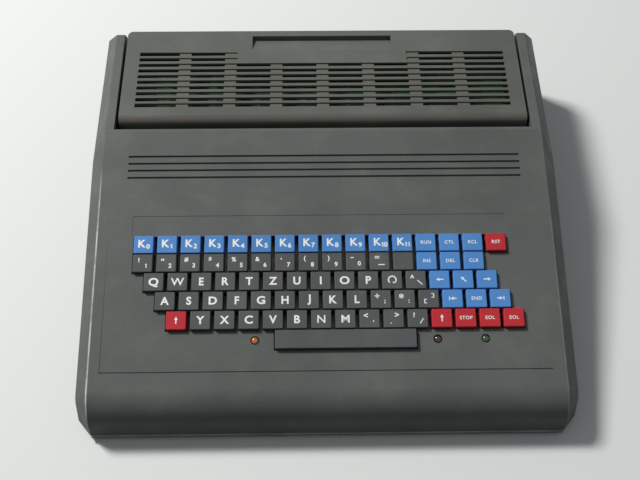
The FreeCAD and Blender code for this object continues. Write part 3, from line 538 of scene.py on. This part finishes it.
def rounded_copy(node_name, width, min_edge, wanted=None, reshape=None, convex=False, flat=0.6):
    """A CAD node's form with its moulded edges rounded; it stands for the node.

    Facets within `flat` degrees are one face, edges over `min_edge` mm are rounded by `width` mm.
    """
    bm = bmesh.new()
    bm.from_mesh(NODES[node_name].data)
    bmesh.ops.remove_doubles(bm, verts=bm.verts, dist=SAME_VERTEX)
    bmesh.ops.dissolve_limit(bm, angle_limit=math.radians(flat), verts=bm.verts, edges=bm.edges)
    if convex:
        bmesh.ops.connect_verts_concave(bm, faces=[f for f in bm.faces if len(f.verts) > 4])
    if reshape:
        reshape(bm)
    edges = [e for e in bm.edges if len(e.link_faces) == 2
             and e.calc_length() > min_edge * MM
             and e.calc_face_angle() > LEAST_FOLD
             and (wanted is None or wanted(e))]
    bmesh.ops.bevel(bm, geom=edges, offset=width * MM, offset_type="OFFSET", segments=2,
                    profile=0.6, affect="EDGES", clamp_overlap=False)
    name = node_name + "_moulded"
    slot = SLOT_OF[node_name]
    piece = finished(name, mesh_of(bm, name), BODY_OF[node_name], FINISH[slot])
    level_planes(piece.data)
    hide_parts(node_name)


def is_case_outline(edge):
    """Edges of the flanks, the arms and the bay, not those of the deck's relief."""
    spots = [v.co / MM for v in edge.verts]
    widest = max(abs(spot.x) for spot in spots)
    foremost = min(spot.y for spot in spots)
    lowest = min(spot.z for spot in spots)
    in_bay = foremost > BAY_Y and lowest > BAY_Z
    at_corner = foremost > REAR_CORNER_Y and widest > REAR_CORNER_X
    return (widest > FLANK_X or in_bay) and not at_corner


def ease_deck_relief(bm):
    """Wider grooves, and a raised floor for the key panel, which is a faint step on the real deck."""
    off_deck = DECK.inverted()
    for vert in bm.verts:
        spot = off_deck @ vert.co
        for groove in GROOVE_S:
            off = spot.y / MM - groove
            at_wall = abs(abs(off) - GROOVE_HALF) < WALL_SLACK
            if at_wall and -RELIEF_DEPTH < spot.z / MM < DECK_SLACK:
                spot.y += math.copysign(GROOVE_SPREAD * MM, off)
                vert.co = DECK @ spot
        along = PANEL_FRONT_S - PANEL_SLACK < spot.y / MM < PANEL_REAR_S
        across = abs(spot.x) < CASE_EDGE_X * MM
        if along and across and PANEL_FLOOR_W[0] < spot.z / MM < PANEL_FLOOR_W[1]:
            spot.z *= PANEL_STEP_KEPT
            vert.co = DECK @ spot


def open_vents_and_round_nose(bm):
    """Slots a little wider at the mouth, and a fuller radius along the module's front edge."""
    nose_y = (MODULE_FRONT_Y + NOSE_CAD_R) * MM
    nose_z = (BEND_Z - NOSE_CAD_R) * MM
    first = VENT_FIRST_Y * MM
    pitch = VENT_PITCH * MM
    for vert in bm.verts:
        y, z = vert.co.y, vert.co.z
        if y < nose_y + SAME_PLACE and z > nose_z - SAME_PLACE:
            vert.co.y = (y - nose_y) * NOSE_R / NOSE_CAD_R + (MODULE_FRONT_Y + NOSE_R) * MM
            vert.co.z = (z - nose_z) * NOSE_R / NOSE_CAD_R + (BEND_Z - NOSE_R) * MM
            continue
        row = round((y - first) / pitch)
        off = y - first - row * pitch
        at_wall = abs(abs(off) - VENT_HALF * MM) < SAME_PLACE
        if 0 <= row < VENT_ROWS and at_wall and z > (BEND_Z - VENT_DEPTH) * MM:
            vert.co.y += math.copysign(VENT_SPREAD * MM, off)


def ring_points(half_w, half_d, radius, steps=3):
    """Corners of a rectangle, each rounded in a few steps, counter-clockwise."""
    points = []
    for turn, (i, j) in enumerate(((1, 1), (-1, 1), (-1, -1), (1, -1))):
        for step in range(steps + 1):
            angle = math.radians(90 * turn + 90 * step / steps)
            points.append((i * (half_w - radius) + radius * math.cos(angle),
                           j * (half_d - radius) + radius * math.sin(angle)))
    return points


def lofted(bm, rings):
    """Skins a stack of rings of equal count and closes both ends; rings run from low to high."""
    loops = [[bm.verts.new(p) for p in ring] for ring in rings]
    count = len(loops[0])
    for low, high in zip(loops, loops[1:]):
        for i in range(count):
            bm.faces.new((low[i - 1], low[i], high[i], high[i - 1]))
    bm.faces.new(loops[0][::-1])
    bm.faces.new(loops[-1])


def cap_form(half_w):
    """One key cap with its stem, in deck coordinates about its own middle."""
    bm = bmesh.new()
    half_d = CAP_D / 2
    lofted(bm, [[Vector((x, y, level)) * MM
                 for x, y in ring_points(half_w - inset_x, half_d - inset_s, radius)]
                for level, inset_x, inset_s, radius in CAP_RINGS])
    lofted(bm, [[Vector((x, y, level)) * MM
                 for x, y in ring_points(STEM_HALF, STEM_HALF, STEM_R, 1)]
                for level in (STEM_END, STEM_TOP)])
    return linked("cap_form", mesh_of(bm, "cap_form"))


def row_of_copies_tree():
    """Geometry nodes: copies of a form in a straight row, real meshes in one finish."""
    tree = bpy.data.node_groups.new("row_of_copies", "GeometryNodeTree")
    for label, kind in (("Geometry", "NodeSocketGeometry"), ("Form", "NodeSocketObject"),
                        ("Count", "NodeSocketInt"), ("Start", "NodeSocketVector"),
                        ("Step", "NodeSocketVector"), ("Finish", "NodeSocketMaterial")):
        tree.interface.new_socket(label, in_out="INPUT", socket_type=kind)
    tree.interface.new_socket("Geometry", in_out="OUTPUT", socket_type="NodeSocketGeometry")
    ins = tree.nodes.new("NodeGroupInput")
    outs = tree.nodes.new("NodeGroupOutput")
    line = tree.nodes.new("GeometryNodeMeshLine")
    form = tree.nodes.new("GeometryNodeObjectInfo")
    copies = tree.nodes.new("GeometryNodeInstanceOnPoints")
    real = tree.nodes.new("GeometryNodeRealizeInstances")
    finish = tree.nodes.new("GeometryNodeSetMaterial")
    for source, output, target, socket in (
            (ins, "Count", line, "Count"), (ins, "Start", line, "Start Location"),
            (ins, "Step", line, "Offset"), (ins, "Form", form, "Object"),
            (line, "Mesh", copies, "Points"), (form, "Geometry", copies, "Instance"),
            (copies, "Instances", real, "Geometry"), (real, "Geometry", finish, "Geometry"),
            (ins, "Finish", finish, "Material"), (finish, "Geometry", outs, "Geometry")):
        tree.links.new(source.outputs[output], target.inputs[socket])
    return tree


ROW_OF_COPIES = row_of_copies_tree()


def grown(tree, **values):
    """The plain mesh that a geometry tree makes with these input values."""
    seed = linked("seed", bpy.data.meshes.new("seed"))
    modifier = seed.modifiers.new("tree", "NODES")
    modifier.node_group = tree
    for item in tree.interface.items_tree:
        if item.in_out == "INPUT" and item.name in values:
            modifier[item.identifier] = values[item.name]
    bpy.context.view_layer.update()
    depsgraph = bpy.context.evaluated_depsgraph_get()
    mesh = bpy.data.meshes.new_from_object(seed.evaluated_get(depsgraph))
    bpy.data.objects.remove(seed)
    return mesh


def cell(row, column):
    """Middle of a key, (x, s)."""
    return (FIELD_X + PITCH_X * (ROW_SHIFT[row] + column + 0.5), FIELD_S - PITCH_S * (row + 0.5))


# Key legends: each row's words from the left; two signs on a cap are parted by a space

LETTER_H = 6.1
SIGN_H = 3.5
WORD_H = 2.7
LEGEND_LIFT = 0.03
KEY_ROWS = (
    ["K|%d" % i for i in range(12)] + ["RUN", "CTL", "RCL", "RST"],
    ["! 1", "” 2", "# 3", "$ 4", "% 5", "& 6", "' 7", "( 8", ") 9", "- 0", "= _", "", "INS",
     "DEL", "CLR"],
    list("QWERTZUIOP") + ["at", "^ back", "<-", "<^", "->"],
    list("ASDFGHJKL") + ["+ ;", "* :", "[ ]", "|<-", "END", "->|"],
    ["up"] + list("YXCVBNM") + ["< ,", "> .", "? slash", "up", "STOP", "EOL", "EOL"],
)
KEY_NODES = (
    ["keys_function"] * 12 + ["key_run", "key_ctl", "key_rcl", "key_rst"],
    ["keys_number"] * 12 + ["key_ins", "key_del", "key_clr"],
    ["keys_upper"] * 12 + ["key_left", "key_home", "key_right"],
    ["keys_home"] * 12 + ["key_line_start", "key_end", "key_line_end"],
    ["key_shift_left"] + ["keys_lower"] * 10 + ["key_shift_right", "key_stop", "key_eol_left",
                                                "key_eol_right"],
)
ARROWS = {"<-": 180, "->": 0, "<^": 135, "up": 90}
LETTER_WIDTH = {"O": 1.12, "Q": 1.12, "C": 1.08, "G": 1.1, "D": 1.08, "E": 0.92, "F": 0.92, "L": 0.92,
                "W": 1.1, "M": 1.1, "N": 1.08}
# Places of the two signs on a cap, from its middle; the pairs not named here take the first
PAIR_PLACES = {"": (-3.0, 2.6, 3.0, -2.3), "[": (-2.6, -2.1, 3.0, 2.6), ">": (2.5, 2.9, -2.3, -3.9),
               "=": (-2.0, 3.3, 1.4, -3.0), "-": (-3.0, 3.2, 2.6, -1.8), "*": (-2.8, 2.3, 3.1, -2.1)}
STAR_RAYS = [(2.0 * math.cos(math.radians(a)), 2.0 * math.sin(math.radians(a))) for a in (30, 90, 150)]
# Signs drawn as bars about their own middle: from x and s to x and s, and how thick
SIGN_BARS = {
    "back": ((-2.0, 1.8, 2.0, -1.8, 0.8),),
    "slash": ((-1.3, -2.1, 1.3, 2.1, 0.8),),
    "+": ((-1.9, 0.0, 1.9, 0.0, 0.9), (0.0, -1.9, 0.0, 1.9, 0.9)),
    "*": [(-x, -s, x, s, 1.0) for x, s in STAR_RAYS],
    "-": ((-1.3, 0.0, 1.3, 0.0, 0.8),),
    "_": ((-2.6, 0.0, 2.6, 0.0, 0.8),),
    "=": ((-1.9, 0.7, 1.9, 0.7, 0.7), (-1.9, -0.7, 1.9, -0.7, 0.7)),
    "[": ((-0.9, -1.9, -0.9, 1.9, 0.8), (-0.9, -1.55, 0.9, -1.55, 0.7), (-0.9, 1.55, 0.9, 1.55, 0.7)),
    "]": ((0.9, -1.9, 0.9, 1.9, 0.8), (-0.9, -1.55, 0.9, -1.55, 0.7), (-0.9, 1.55, 0.9, 1.55, 0.7)),
}
SMALL_SIGNS = "<>^” "
SMALL_SIGN_GROWTH = 1.25
PLAIN_BOLD = 0.03
WIDE_LETTERS = "MNW"
WIDE_LETTER_BOLD = 0.012
WORD_BOLD = 0.018
WORD_SPACING = 1.12
ARROW_STROKE = 0.9
ARROW_HEAD = 2.6
ARROW_HEAD_HALF = 0.55
ARROW_LENGTH = 6.0
# An arrow that runs against a bar: its length, how far back it stands, and the bar
STOPPED_LENGTH = 4.8
STOPPED_BACK = 0.5
STOP_X = 2.6
STOP_HALF = 1.5
STOP_STROKE = 0.8
# The open ring: its size, its degrees, and its end's reach from, to and down in radii
RING_R = 3.6
RING_STROKE = 1.1
RING_DEGREES = range(-55, 236, 15)
RING_END = (0.1, 0.75, 0.62)
# The figure one's flag: out and up in heights, how far under the top and how thick in strokes
ONE_FLAG = (0.28, 0.26, 0.3, 0.8)
ONE_STROKE = 0.75
# The function keys: a letter and a smaller number low at its right
FUNCTION_K_X = -1.1
FUNCTION_K_S = 0.7
FUNCTION_NUMBER_X = 3.8
FUNCTION_NUMBER_S = -1.7
FUNCTION_DIGIT_H = 0.62 * LETTER_H
FUNCTION_DIGIT_STEP = 2.4
FUNCTION_DIGIT_WIDTH = 1.05
FUNCTION_PAIR_SHIFT = 0.5
FUNCTION_ONE_STROKE = 0.85


def text_mesh(words, bold, spacing=1.0):
    """A word as a flat mesh, at the font's own size."""
    curve = bpy.data.curves.new("words", "FONT")
    curve.space_character = spacing
    curve.body = words
    curve.size = 1.0
    curve.offset = bold
    curve.resolution_u = 4
    curve.align_x = "CENTER"
    holder = linked("words", curve)
    bpy.context.view_layer.update()
    mesh = bpy.data.meshes.new_from_object(holder.evaluated_get(bpy.context.evaluated_depsgraph_get()))
    bpy.data.objects.remove(holder)
    bpy.data.curves.remove(curve)
    return mesh


def extent(mesh):
    """Left, right, low and high end of a flat mesh."""
    xs = [v.co.x for v in mesh.vertices]
    ys = [v.co.y for v in mesh.vertices]
    return min(xs), max(xs), min(ys), max(ys)


CAPITAL_H = extent(text_mesh("H", 0.0))[3]


def add_words(bm, words, x, s, height, bold=PLAIN_BOLD, widen=1.0, spacing=1.0):
    """Puts a word on a cap: its capitals `height` mm high, its middle at (x, s)."""
    mesh = text_mesh(words, bold, spacing)
    low_x, high_x, low_y, high_y = extent(mesh)
    scale = height * MM / CAPITAL_H
    middle_y = (low_y + high_y) / 2 if words != "Q" else CAPITAL_H / 2
    place = Matrix.Translation((x * MM, s * MM, (CAP_TOP + LEGEND_LIFT) * MM)) @ Matrix.Diagonal(
        (scale * widen, scale, 1, 1)) @ Matrix.Translation((-(low_x + high_x) / 2, -middle_y, 0))
    mesh.transform(place)
    bm.from_mesh(mesh)
    bpy.data.meshes.remove(mesh)


def add_patch(bm, corners):
    """A flat printed shape through these deck points, counter-clockwise."""
    bm.faces.new([bm.verts.new(Vector((c[0], c[1], CAP_TOP + LEGEND_LIFT)) * MM) for c in corners])


def add_bar(bm, x0, s0, x1, s1, thick):
    """A flat stroke from one point to another."""
    along = Vector((x1 - x0, s1 - s0)).normalized()
    side = Vector((-along.y, along.x)) * thick / 2
    add_patch(bm, ((x0 - side.x, s0 - side.y), (x1 - side.x, s1 - side.y),
                   (x1 + side.x, s1 + side.y), (x0 + side.x, s0 + side.y)))


def add_arrow(bm, x, s, angle, length):
    """An arrow with a filled head, pointing along `angle` degrees from the x axis."""
    along = Vector((math.cos(math.radians(angle)), math.sin(math.radians(angle))))
    side = Vector((-along.y, along.x))
    middle = Vector((x, s))
    tail = middle - along * length / 2
    neck = middle + along * (length / 2 - ARROW_HEAD)
    tip = middle + along * length / 2
    add_bar(bm, tail.x, tail.y, neck.x, neck.y, ARROW_STROKE)
    half = side * ARROW_HEAD * ARROW_HEAD_HALF
    add_patch(bm, (neck - half, tip, neck + half))


def add_open_ring(bm, x, s):
    """A ring left open at the bottom, its right end turned inwards."""
    turns = [math.radians(a) for a in RING_DEGREES]
    inner = RING_R - RING_STROKE
    for a, b in zip(turns, turns[1:]):
        add_patch(bm, [(x + r * math.cos(v), s + r * math.sin(v))
                       for r, v in ((RING_R, a), (RING_R, b), (inner, b), (inner, a))])
    near, far, down = (share * RING_R for share in RING_END)
    add_bar(bm, x + near, s - down, x + far, s - down, RING_STROKE)


def add_one_digit(bm, x, s, height, stroke):
    """A plain figure one: an upright with a short flag."""
    out, up, under_top, thick = ONE_FLAG
    add_bar(bm, x, s - height / 2, x, s + height / 2, stroke)
    add_bar(bm, x - out * height, s + up * height, x, s + height / 2 - under_top * stroke,
            thick * stroke)


def add_sign(bm, sign, x, s):
    """One of the two signs that share a cap."""
    if sign in SIGN_BARS:
        for x0, s0, x1, s1, thick in SIGN_BARS[sign]:
            add_bar(bm, x + x0, s + s0, x + x1, s + s1, thick)
    elif sign == "1":
        add_one_digit(bm, x, s, SIGN_H, ONE_STROKE)
    else:
        add_words(bm, sign, x, s, SIGN_H * (SMALL_SIGN_GROWTH if sign in SMALL_SIGNS else 1.0))


def add_function_name(bm, digits, x, s):
    """K and its number; the second digit of a pair pushes both a little to the right."""
    add_words(bm, "K", x + FUNCTION_K_X, s + FUNCTION_K_S, LETTER_H)
    more = len(digits) - 1
    s += FUNCTION_NUMBER_S
    for i, digit in enumerate(digits):
        middle = (x + FUNCTION_NUMBER_X + FUNCTION_DIGIT_STEP * (i - more / 2)
                  + FUNCTION_PAIR_SHIFT * more)
        if digit == "1":
            add_one_digit(bm, middle, s, FUNCTION_DIGIT_H, FUNCTION_ONE_STROKE)
        else:
            add_words(bm, digit, middle, s, FUNCTION_DIGIT_H, widen=FUNCTION_DIGIT_WIDTH)


def add_legend(bm, legend, x, s):
    """What one key says, about the middle of its cap."""
    if legend in ARROWS:
        add_arrow(bm, x, s, ARROWS[legend], ARROW_LENGTH)
    elif legend in ("|<-", "->|"):
        end = -1.0 if legend == "|<-" else 1.0
        add_arrow(bm, x - STOPPED_BACK * end, s, 0 if end > 0 else 180, STOPPED_LENGTH)
        bar_x = x + STOP_X * end
        add_bar(bm, bar_x, s - STOP_HALF, bar_x, s + STOP_HALF, STOP_STROKE)
    elif legend == "at":
        add_open_ring(bm, x, s)
    elif legend.startswith("K|"):
        add_function_name(bm, legend[2:], x, s)
    elif " " in legend:
        upper, lower = legend.split(" ")
        places = PAIR_PLACES.get(upper, PAIR_PLACES[""])
        add_sign(bm, upper, x + places[0], s + places[1])
        add_sign(bm, lower, x + places[2], s + places[3])
    elif len(legend) == 1:
        bold = WIDE_LETTER_BOLD if legend in WIDE_LETTERS else PLAIN_BOLD
        add_words(bm, legend, x, s, LETTER_H, bold, LETTER_WIDTH.get(legend, 1.0))
    elif legend:
        add_words(bm, legend, x, s, WORD_H, bold=WORD_BOLD, spacing=WORD_SPACING)


def key_legends():
    """The printed signs, one mesh for each key or bank of keys."""
    prints = {}
    for row, legends in enumerate(KEY_ROWS):
        for column, legend in enumerate(legends):
            bm = prints.setdefault(KEY_NODES[row][column], bmesh.new())
            add_legend(bm, legend, *cell(row, column))
    for node_name, bm in prints.items():
        name = node_name + "_print"
        finished(name, mesh_of(bm, name, DECK), BODY_OF[node_name], LEGEND_INK)


def key_caps():
    form = cap_form(CAP_W / 2)
    wide = cap_form(PITCH_X * (SPACE_CELLS[1] - SPACE_CELLS[0]) / 2 - (PITCH_X - CAP_W) / 2)
    runs = []
    for row, names in enumerate(KEY_NODES):
        for name in dict.fromkeys(names):
            x, s = cell(row, names.index(name))
            runs.append((name, form, names.count(name), x, s))
    middle = FIELD_X + PITCH_X * (SPACE_CELLS[0] + SPACE_CELLS[1]) / 2
    runs.append(("key_space", wide, 1, middle, FIELD_S - PITCH_S * (len(KEY_ROWS) + 0.5)))
    for name, shape, count, x, s in runs:
        slot = SLOT_OF[name]
        mesh = grown(ROW_OF_COPIES, Form=shape, Count=count, Start=(x * MM, s * MM, 0.0),
                     Step=(PITCH_X * MM, 0.0, 0.0), Finish=FINISH[slot])
        mesh.transform(DECK)
        piece = finished(name + "_caps", mesh, BODY_OF[name], FINISH[slot])
        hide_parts(name)
    bpy.data.objects.remove(form)
    bpy.data.objects.remove(wide)


def lamp_lenses():
    """Round-topped lenses that stand for the plain lamp solids."""
    flange_r = LAMP_R + LAMP_FLANGE
    profile = [(flange_r, LAMP_FLANGE_W[0]), (flange_r, LAMP_FLANGE_W[1]), (LAMP_R, LAMP_FLANGE_W[1])]
    for step in range(DOME_STEPS):
        angle = math.radians(step * DOME_STEP_DEGREES)
        profile.append((LAMP_R * math.cos(angle),
                        LAMP_TOP - LAMP_DOME_H + LAMP_DOME_H * math.sin(angle)))
    turns = [math.tau * i / LAMP_SIDES for i in range(LAMP_SIDES)]
    for name in ("lamp_amber", "lamp_red", "lamp_green"):
        low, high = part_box(name)
        x = (low.x + high.x) / 2 / MM
        bm = bmesh.new()
        lofted(bm, [[Vector((x + r * math.cos(turn), LAMP_S + r * math.sin(turn), w)) * MM
                     for turn in turns] for r, w in profile])
        slot = SLOT_OF[name]
        piece = finished(name + "_lens", mesh_of(bm, name + "_lens", DECK), BODY_OF[name],
                         FINISH[slot], sharp=50.0)
        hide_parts(name)


def case_and_module():
    rounded_copy("top_cover", width=0.8, min_edge=3.0, wanted=is_case_outline,
                 reshape=ease_deck_relief, convex=True, flat=0.08)
    rounded_copy("bottom_tray", width=0.3, min_edge=6.0, convex=True)
    rounded_copy("module_case", width=0.6, min_edge=20.0, reshape=open_vents_and_round_nose)
    rounded_copy("module_base", width=0.4, min_edge=20.0)


def panel_seam():
    """Painted shade: a black strip where the key panel ends in front of the space bar, standing for the
    shadowed gap there.
    """
    bm = bmesh.new()
    depth = -PANEL_STEP * PANEL_STEP_KEPT + GAP_SHADE_LIFT
    corners = ((PANEL_X[0], PANEL_FRONT_S), (PANEL_X[1], PANEL_FRONT_S),
               (PANEL_X[1], PANEL_FRONT_S + GAP_SHADE_W), (PANEL_X[0], PANEL_FRONT_S + GAP_SHADE_W))
    bm.faces.new([bm.verts.new(Vector((x, s, depth)) * MM) for x, s in corners])
    mesh = mesh_of(bm, "panel_seam", DECK)
    finished("panel_seam", mesh, "chassis", FINISH["black_plastic"])


# Small metal parts at the rear and on the boards, frame places in millimetres

REAR_Y = 178.8
SOCKET_Z = 26.0
DIN_X = (52.0, 26.0, 0.0)
# Closed outlines of turned parts: radius, and how far out from the rear plate
DIN_SHELL = ((6.4, -6.0), (6.4, 0.8), (6.2, 1.0), (5.8, 1.0), (5.65, 0.8), (5.65, -6.0))
SCREW_HEAD = ((0.01, 0.45), (1.1, 0.45), (1.25, 1.0), (1.9, 0.8), (2.4, 0.2), (2.4, -0.4), (0.01, -0.4))
TURNED_SIDES = 40
SCREW_X = (-162.0, 162.0)
SCREW_Z = (15.0, 37.0)
CONTACT_PITCH = 2.54
BUS_X = (-72.0, -130.0)
BUS_CONTACTS = 17
BUS_CONTACT_Y = REAR_Y - 3.6
BUS_CONTACT_Z = (SOCKET_Z - 1.25, SOCKET_Z + 1.25)
BUS_CONTACT_HALF = (0.7, 3.2, 0.3)
FINGERS = 40
FINGER_Y = 54.0
FINGER_Z = (63.19, 64.81)
FINGER_HALF = (0.8, 4.4, 0.03)
LEG_HALF = 0.35
LEG_OUT = 0.12
LEG_END_ROOM = 1.0
CORNER_BREAK = 0.3


def box_form(name, half_x, half_y, half_z):
    """A small block about its own middle, its edges lightly broken."""
    bm = bmesh.new()
    bmesh.ops.create_cube(bm, size=2.0)
    bmesh.ops.scale(bm, vec=Vector((half_x, half_y, half_z)) * MM, verts=bm.verts)
    bmesh.ops.bevel(bm, geom=bm.edges[:], offset=min(half_x, half_y, half_z) * CORNER_BREAK * MM,
                    segments=1, affect="EDGES")
    return linked(name, mesh_of(bm, name))


def rows_piece(name, form, rows, body, material):
    """One piece from straight rows of a form: each row is (count, start, step) in millimetres."""
    bm = bmesh.new()
    for count, start, step in rows:
        mesh = grown(ROW_OF_COPIES, Form=form, Count=count, Start=tuple(Vector(start) * MM),
                     Step=tuple(Vector(step) * MM), Finish=material)
        bm.from_mesh(mesh)
        bpy.data.meshes.remove(mesh)
    bpy.data.objects.remove(form)
    return finished(name, mesh_of(bm, name), body, material)


def half_run(count):
    """From the middle of a row of contacts to its first one."""
    return (count - 1) / 2 * CONTACT_PITCH


def turned_along_y(bm, x, z, profile):
    """A closed turned form about a line along Y; the profile is (radius, way out) pairs in order."""
    turns = [math.tau * i / TURNED_SIDES for i in range(TURNED_SIDES)]
    loops = [[bm.verts.new(Vector((x + r * math.cos(turn), REAR_Y + out, z + r * math.sin(turn))) * MM)
              for turn in turns] for r, out in profile]
    for low, high in zip(loops, loops[1:] + loops[:1]):
        for i in range(TURNED_SIDES):
            bm.faces.new((low[i - 1], low[i], high[i], high[i - 1]))


def turned_piece(name, spots, profile, material):
    """One piece of the chassis: the turned form at each of these spots, (x, z)."""
    bm = bmesh.new()
    for x, z in spots:
        turned_along_y(bm, x, z, profile)
    bmesh.ops.recalc_face_normals(bm, faces=bm.faces)
    return finished(name, mesh_of(bm, name), "chassis", material)


def rear_metal():
    """Nickel shells of the round sockets, sprung contacts of the two long ones, panel screws."""
    turned_piece("din_shells", [(x, SOCKET_Z) for x in DIN_X], DIN_SHELL, FINISH["nickel"])
    turned_piece("panel_screws", [(x, z) for x in SCREW_X for z in SCREW_Z], SCREW_HEAD,
                 FINISH["steel"])
    rows = [(BUS_CONTACTS, (x - half_run(BUS_CONTACTS), BUS_CONTACT_Y, z), (CONTACT_PITCH, 0, 0))
            for x in BUS_X for z in BUS_CONTACT_Z]
    rows_piece("bus_contacts", box_form("contact", *BUS_CONTACT_HALF), rows, "chassis",
               GOLD_PLATE)


def edge_fingers():
    """Gilt fingers on both sides of the module board's tongue."""
    rows = [(FINGERS, (-half_run(FINGERS), FINGER_Y, z), (CONTACT_PITCH, 0, 0)) for z in FINGER_Z]
    rows_piece("edge_fingers", box_form("finger", *FINGER_HALF), rows, BODY_OF["module_board"],
               GOLD_PLATE)


def solid_boxes(node_name):
    """The box of each separate solid in a CAD node, in millimetres, in the order of its mesh."""
    bm = bmesh.new()
    bm.from_mesh(NODES[node_name].data)
    bmesh.ops.remove_doubles(bm, verts=bm.verts, dist=SAME_VERTEX)
    seen = set()
    boxes = []
    for start in bm.verts:
        if start in seen:
            continue
        seen.add(start)
        solid = [start]
        for vert in solid:
            for edge in vert.link_edges:
                other = edge.other_vert(vert)
                if other not in seen:
                    seen.add(other)
                    solid.append(other)
        boxes.append(tuple((min(v.co[i] for v in solid) / MM, max(v.co[i] for v in solid) / MM)
                           for i in range(3)))
    bm.free()
    return boxes


def chip_legs():
    """Tinned legs down both long sides of every chip."""
    for node_name in ("logic_chips", "memory_chips", "module_chips"):
        rows = []
        for (x0, x1), (y0, y1), (z0, z1) in solid_boxes(node_name):
            along_x = x1 - x0 > y1 - y0
            length = max(x1 - x0, y1 - y0)
            count = int((length - LEG_END_ROOM) / CONTACT_PITCH)
            first = half_run(count)
            z = (z0 + z1) / 2 - LEG_HALF
            if along_x:
                rows += [(count, ((x0 + x1) / 2 - first, y, z), (CONTACT_PITCH, 0, 0))
                         for y in (y0 - LEG_OUT, y1 + LEG_OUT)]
            else:
                rows += [(count, (x, (y0 + y1) / 2 - first, z), (0, CONTACT_PITCH, 0))
                         for x in (x0 - LEG_OUT, x1 + LEG_OUT)]
        form = box_form("leg", LEG_HALF, LEG_HALF, (z1 - z0) / 2 - LEG_HALF)
        rows_piece(node_name + "_legs", form, rows, BODY_OF[node_name], FINISH["nickel"])


def dress_nodes():
    """Every CAD node that still shows gets its finish."""
    for name, node in NODES.items():
        for slot in node.material_slots:
            slot.material = FINISH[SLOT_OF[name]]


# Stage, light and camera

SKY_LOW = (0.042, 0.046, 0.05, 1)
SKY_HIGH = (0.205, 0.22, 0.235, 1)
SKY_HIGH_FROM = 0.7
FLOOR_HALF = 6.0
LAMP_PLACE = (-1.5, 1.05, 2.2)
LAMP_SIZE = 0.55
LAMP_WATTS = 80.0


def pale_rays(tree):
    """One where the floor and sky are seen, mirrored or looked through, so that they look pale."""
    seen = add(tree, "ShaderNodeLightPath")
    mirrored = maths(tree, "MAXIMUM", seen.outputs["Is Glossy Ray"], seen.outputs["Is Transmission Ray"])
    return maths(tree, "MAXIMUM", seen.outputs["Is Camera Ray"], mirrored)


def floor_and_light():
    mesh = bpy.data.meshes.new("floor")
    corners = ((-1, -1), (1, -1), (1, 1), (-1, 1))
    mesh.from_pydata([(i * FLOOR_HALF, j * FLOOR_HALF, 0) for i, j in corners], [], [(0, 1, 2, 3)])
    floor = linked("floor", mesh)
    material, tree, shader = new_material("floor_paint")
    tree.links.new(mixed(tree, pale_rays(tree), FLOOR_FOR_LIGHT, FLOOR_PALE),
                   shader.inputs["Base Color"])
    shader.inputs["Roughness"].default_value = 0.9
    mesh.materials.append(material)
    world = bpy.data.worlds.new("studio")
    world.use_nodes = True
    sky = world.node_tree.nodes["Background"]
    sky.inputs["Strength"].default_value = 1.0
    tree = world.node_tree
    axes = add(tree, "ShaderNodeSeparateXYZ")
    tree.links.new(add(tree, "ShaderNodeTexCoord").outputs["Generated"], axes.inputs[0])
    height = mapped(tree, axes.outputs["Z"], 0.0, SKY_HIGH_FROM)
    light = mixed(tree, height, SKY_LOW, SKY_HIGH)
    tree.links.new(mixed(tree, pale_rays(tree), light, FLOOR_PALE), sky.inputs["Color"])
    bpy.context.scene.world = world
    lamp = bpy.data.lights.new("key_lamp", "AREA")
    lamp.size = LAMP_SIZE
    lamp.energy = LAMP_WATTS
    holder = linked("key_lamp", lamp)
    holder.location = LAMP_PLACE
    holder.rotation_euler = (-Vector(LAMP_PLACE)).to_track_quat("-Z", "Y").to_euler()


CAMERA_PLACE = (-0.01801, -0.5126, 0.76742)
CAMERA_RIGHT = (0.999837, -0.015872, 0.008574)
CAMERA_UP = (0.008426, 0.831152, 0.555982)
CAMERA_BACK = (-0.015951, -0.555819, 0.83115)
LENS = 58.067
SENSOR_WIDTH = 36.0


def photo_camera():
    data = bpy.data.cameras.new("photo_camera")
    data.lens = LENS
    data.sensor_width = SENSOR_WIDTH
    camera = linked("photo_camera", data)
    turn = Matrix((CAMERA_RIGHT, CAMERA_UP, CAMERA_BACK)).transposed().to_4x4()
    camera.matrix_world = Matrix.Translation(CAMERA_PLACE) @ turn
    bpy.context.scene.camera = camera
    bpy.context.scene.view_settings.view_transform = "Standard"


dress_nodes()
case_and_module()
key_caps()
key_legends()
lamp_lenses()
panel_seam()
rear_metal()
edge_fingers()
chip_legs()
floor_and_light()
photo_camera()
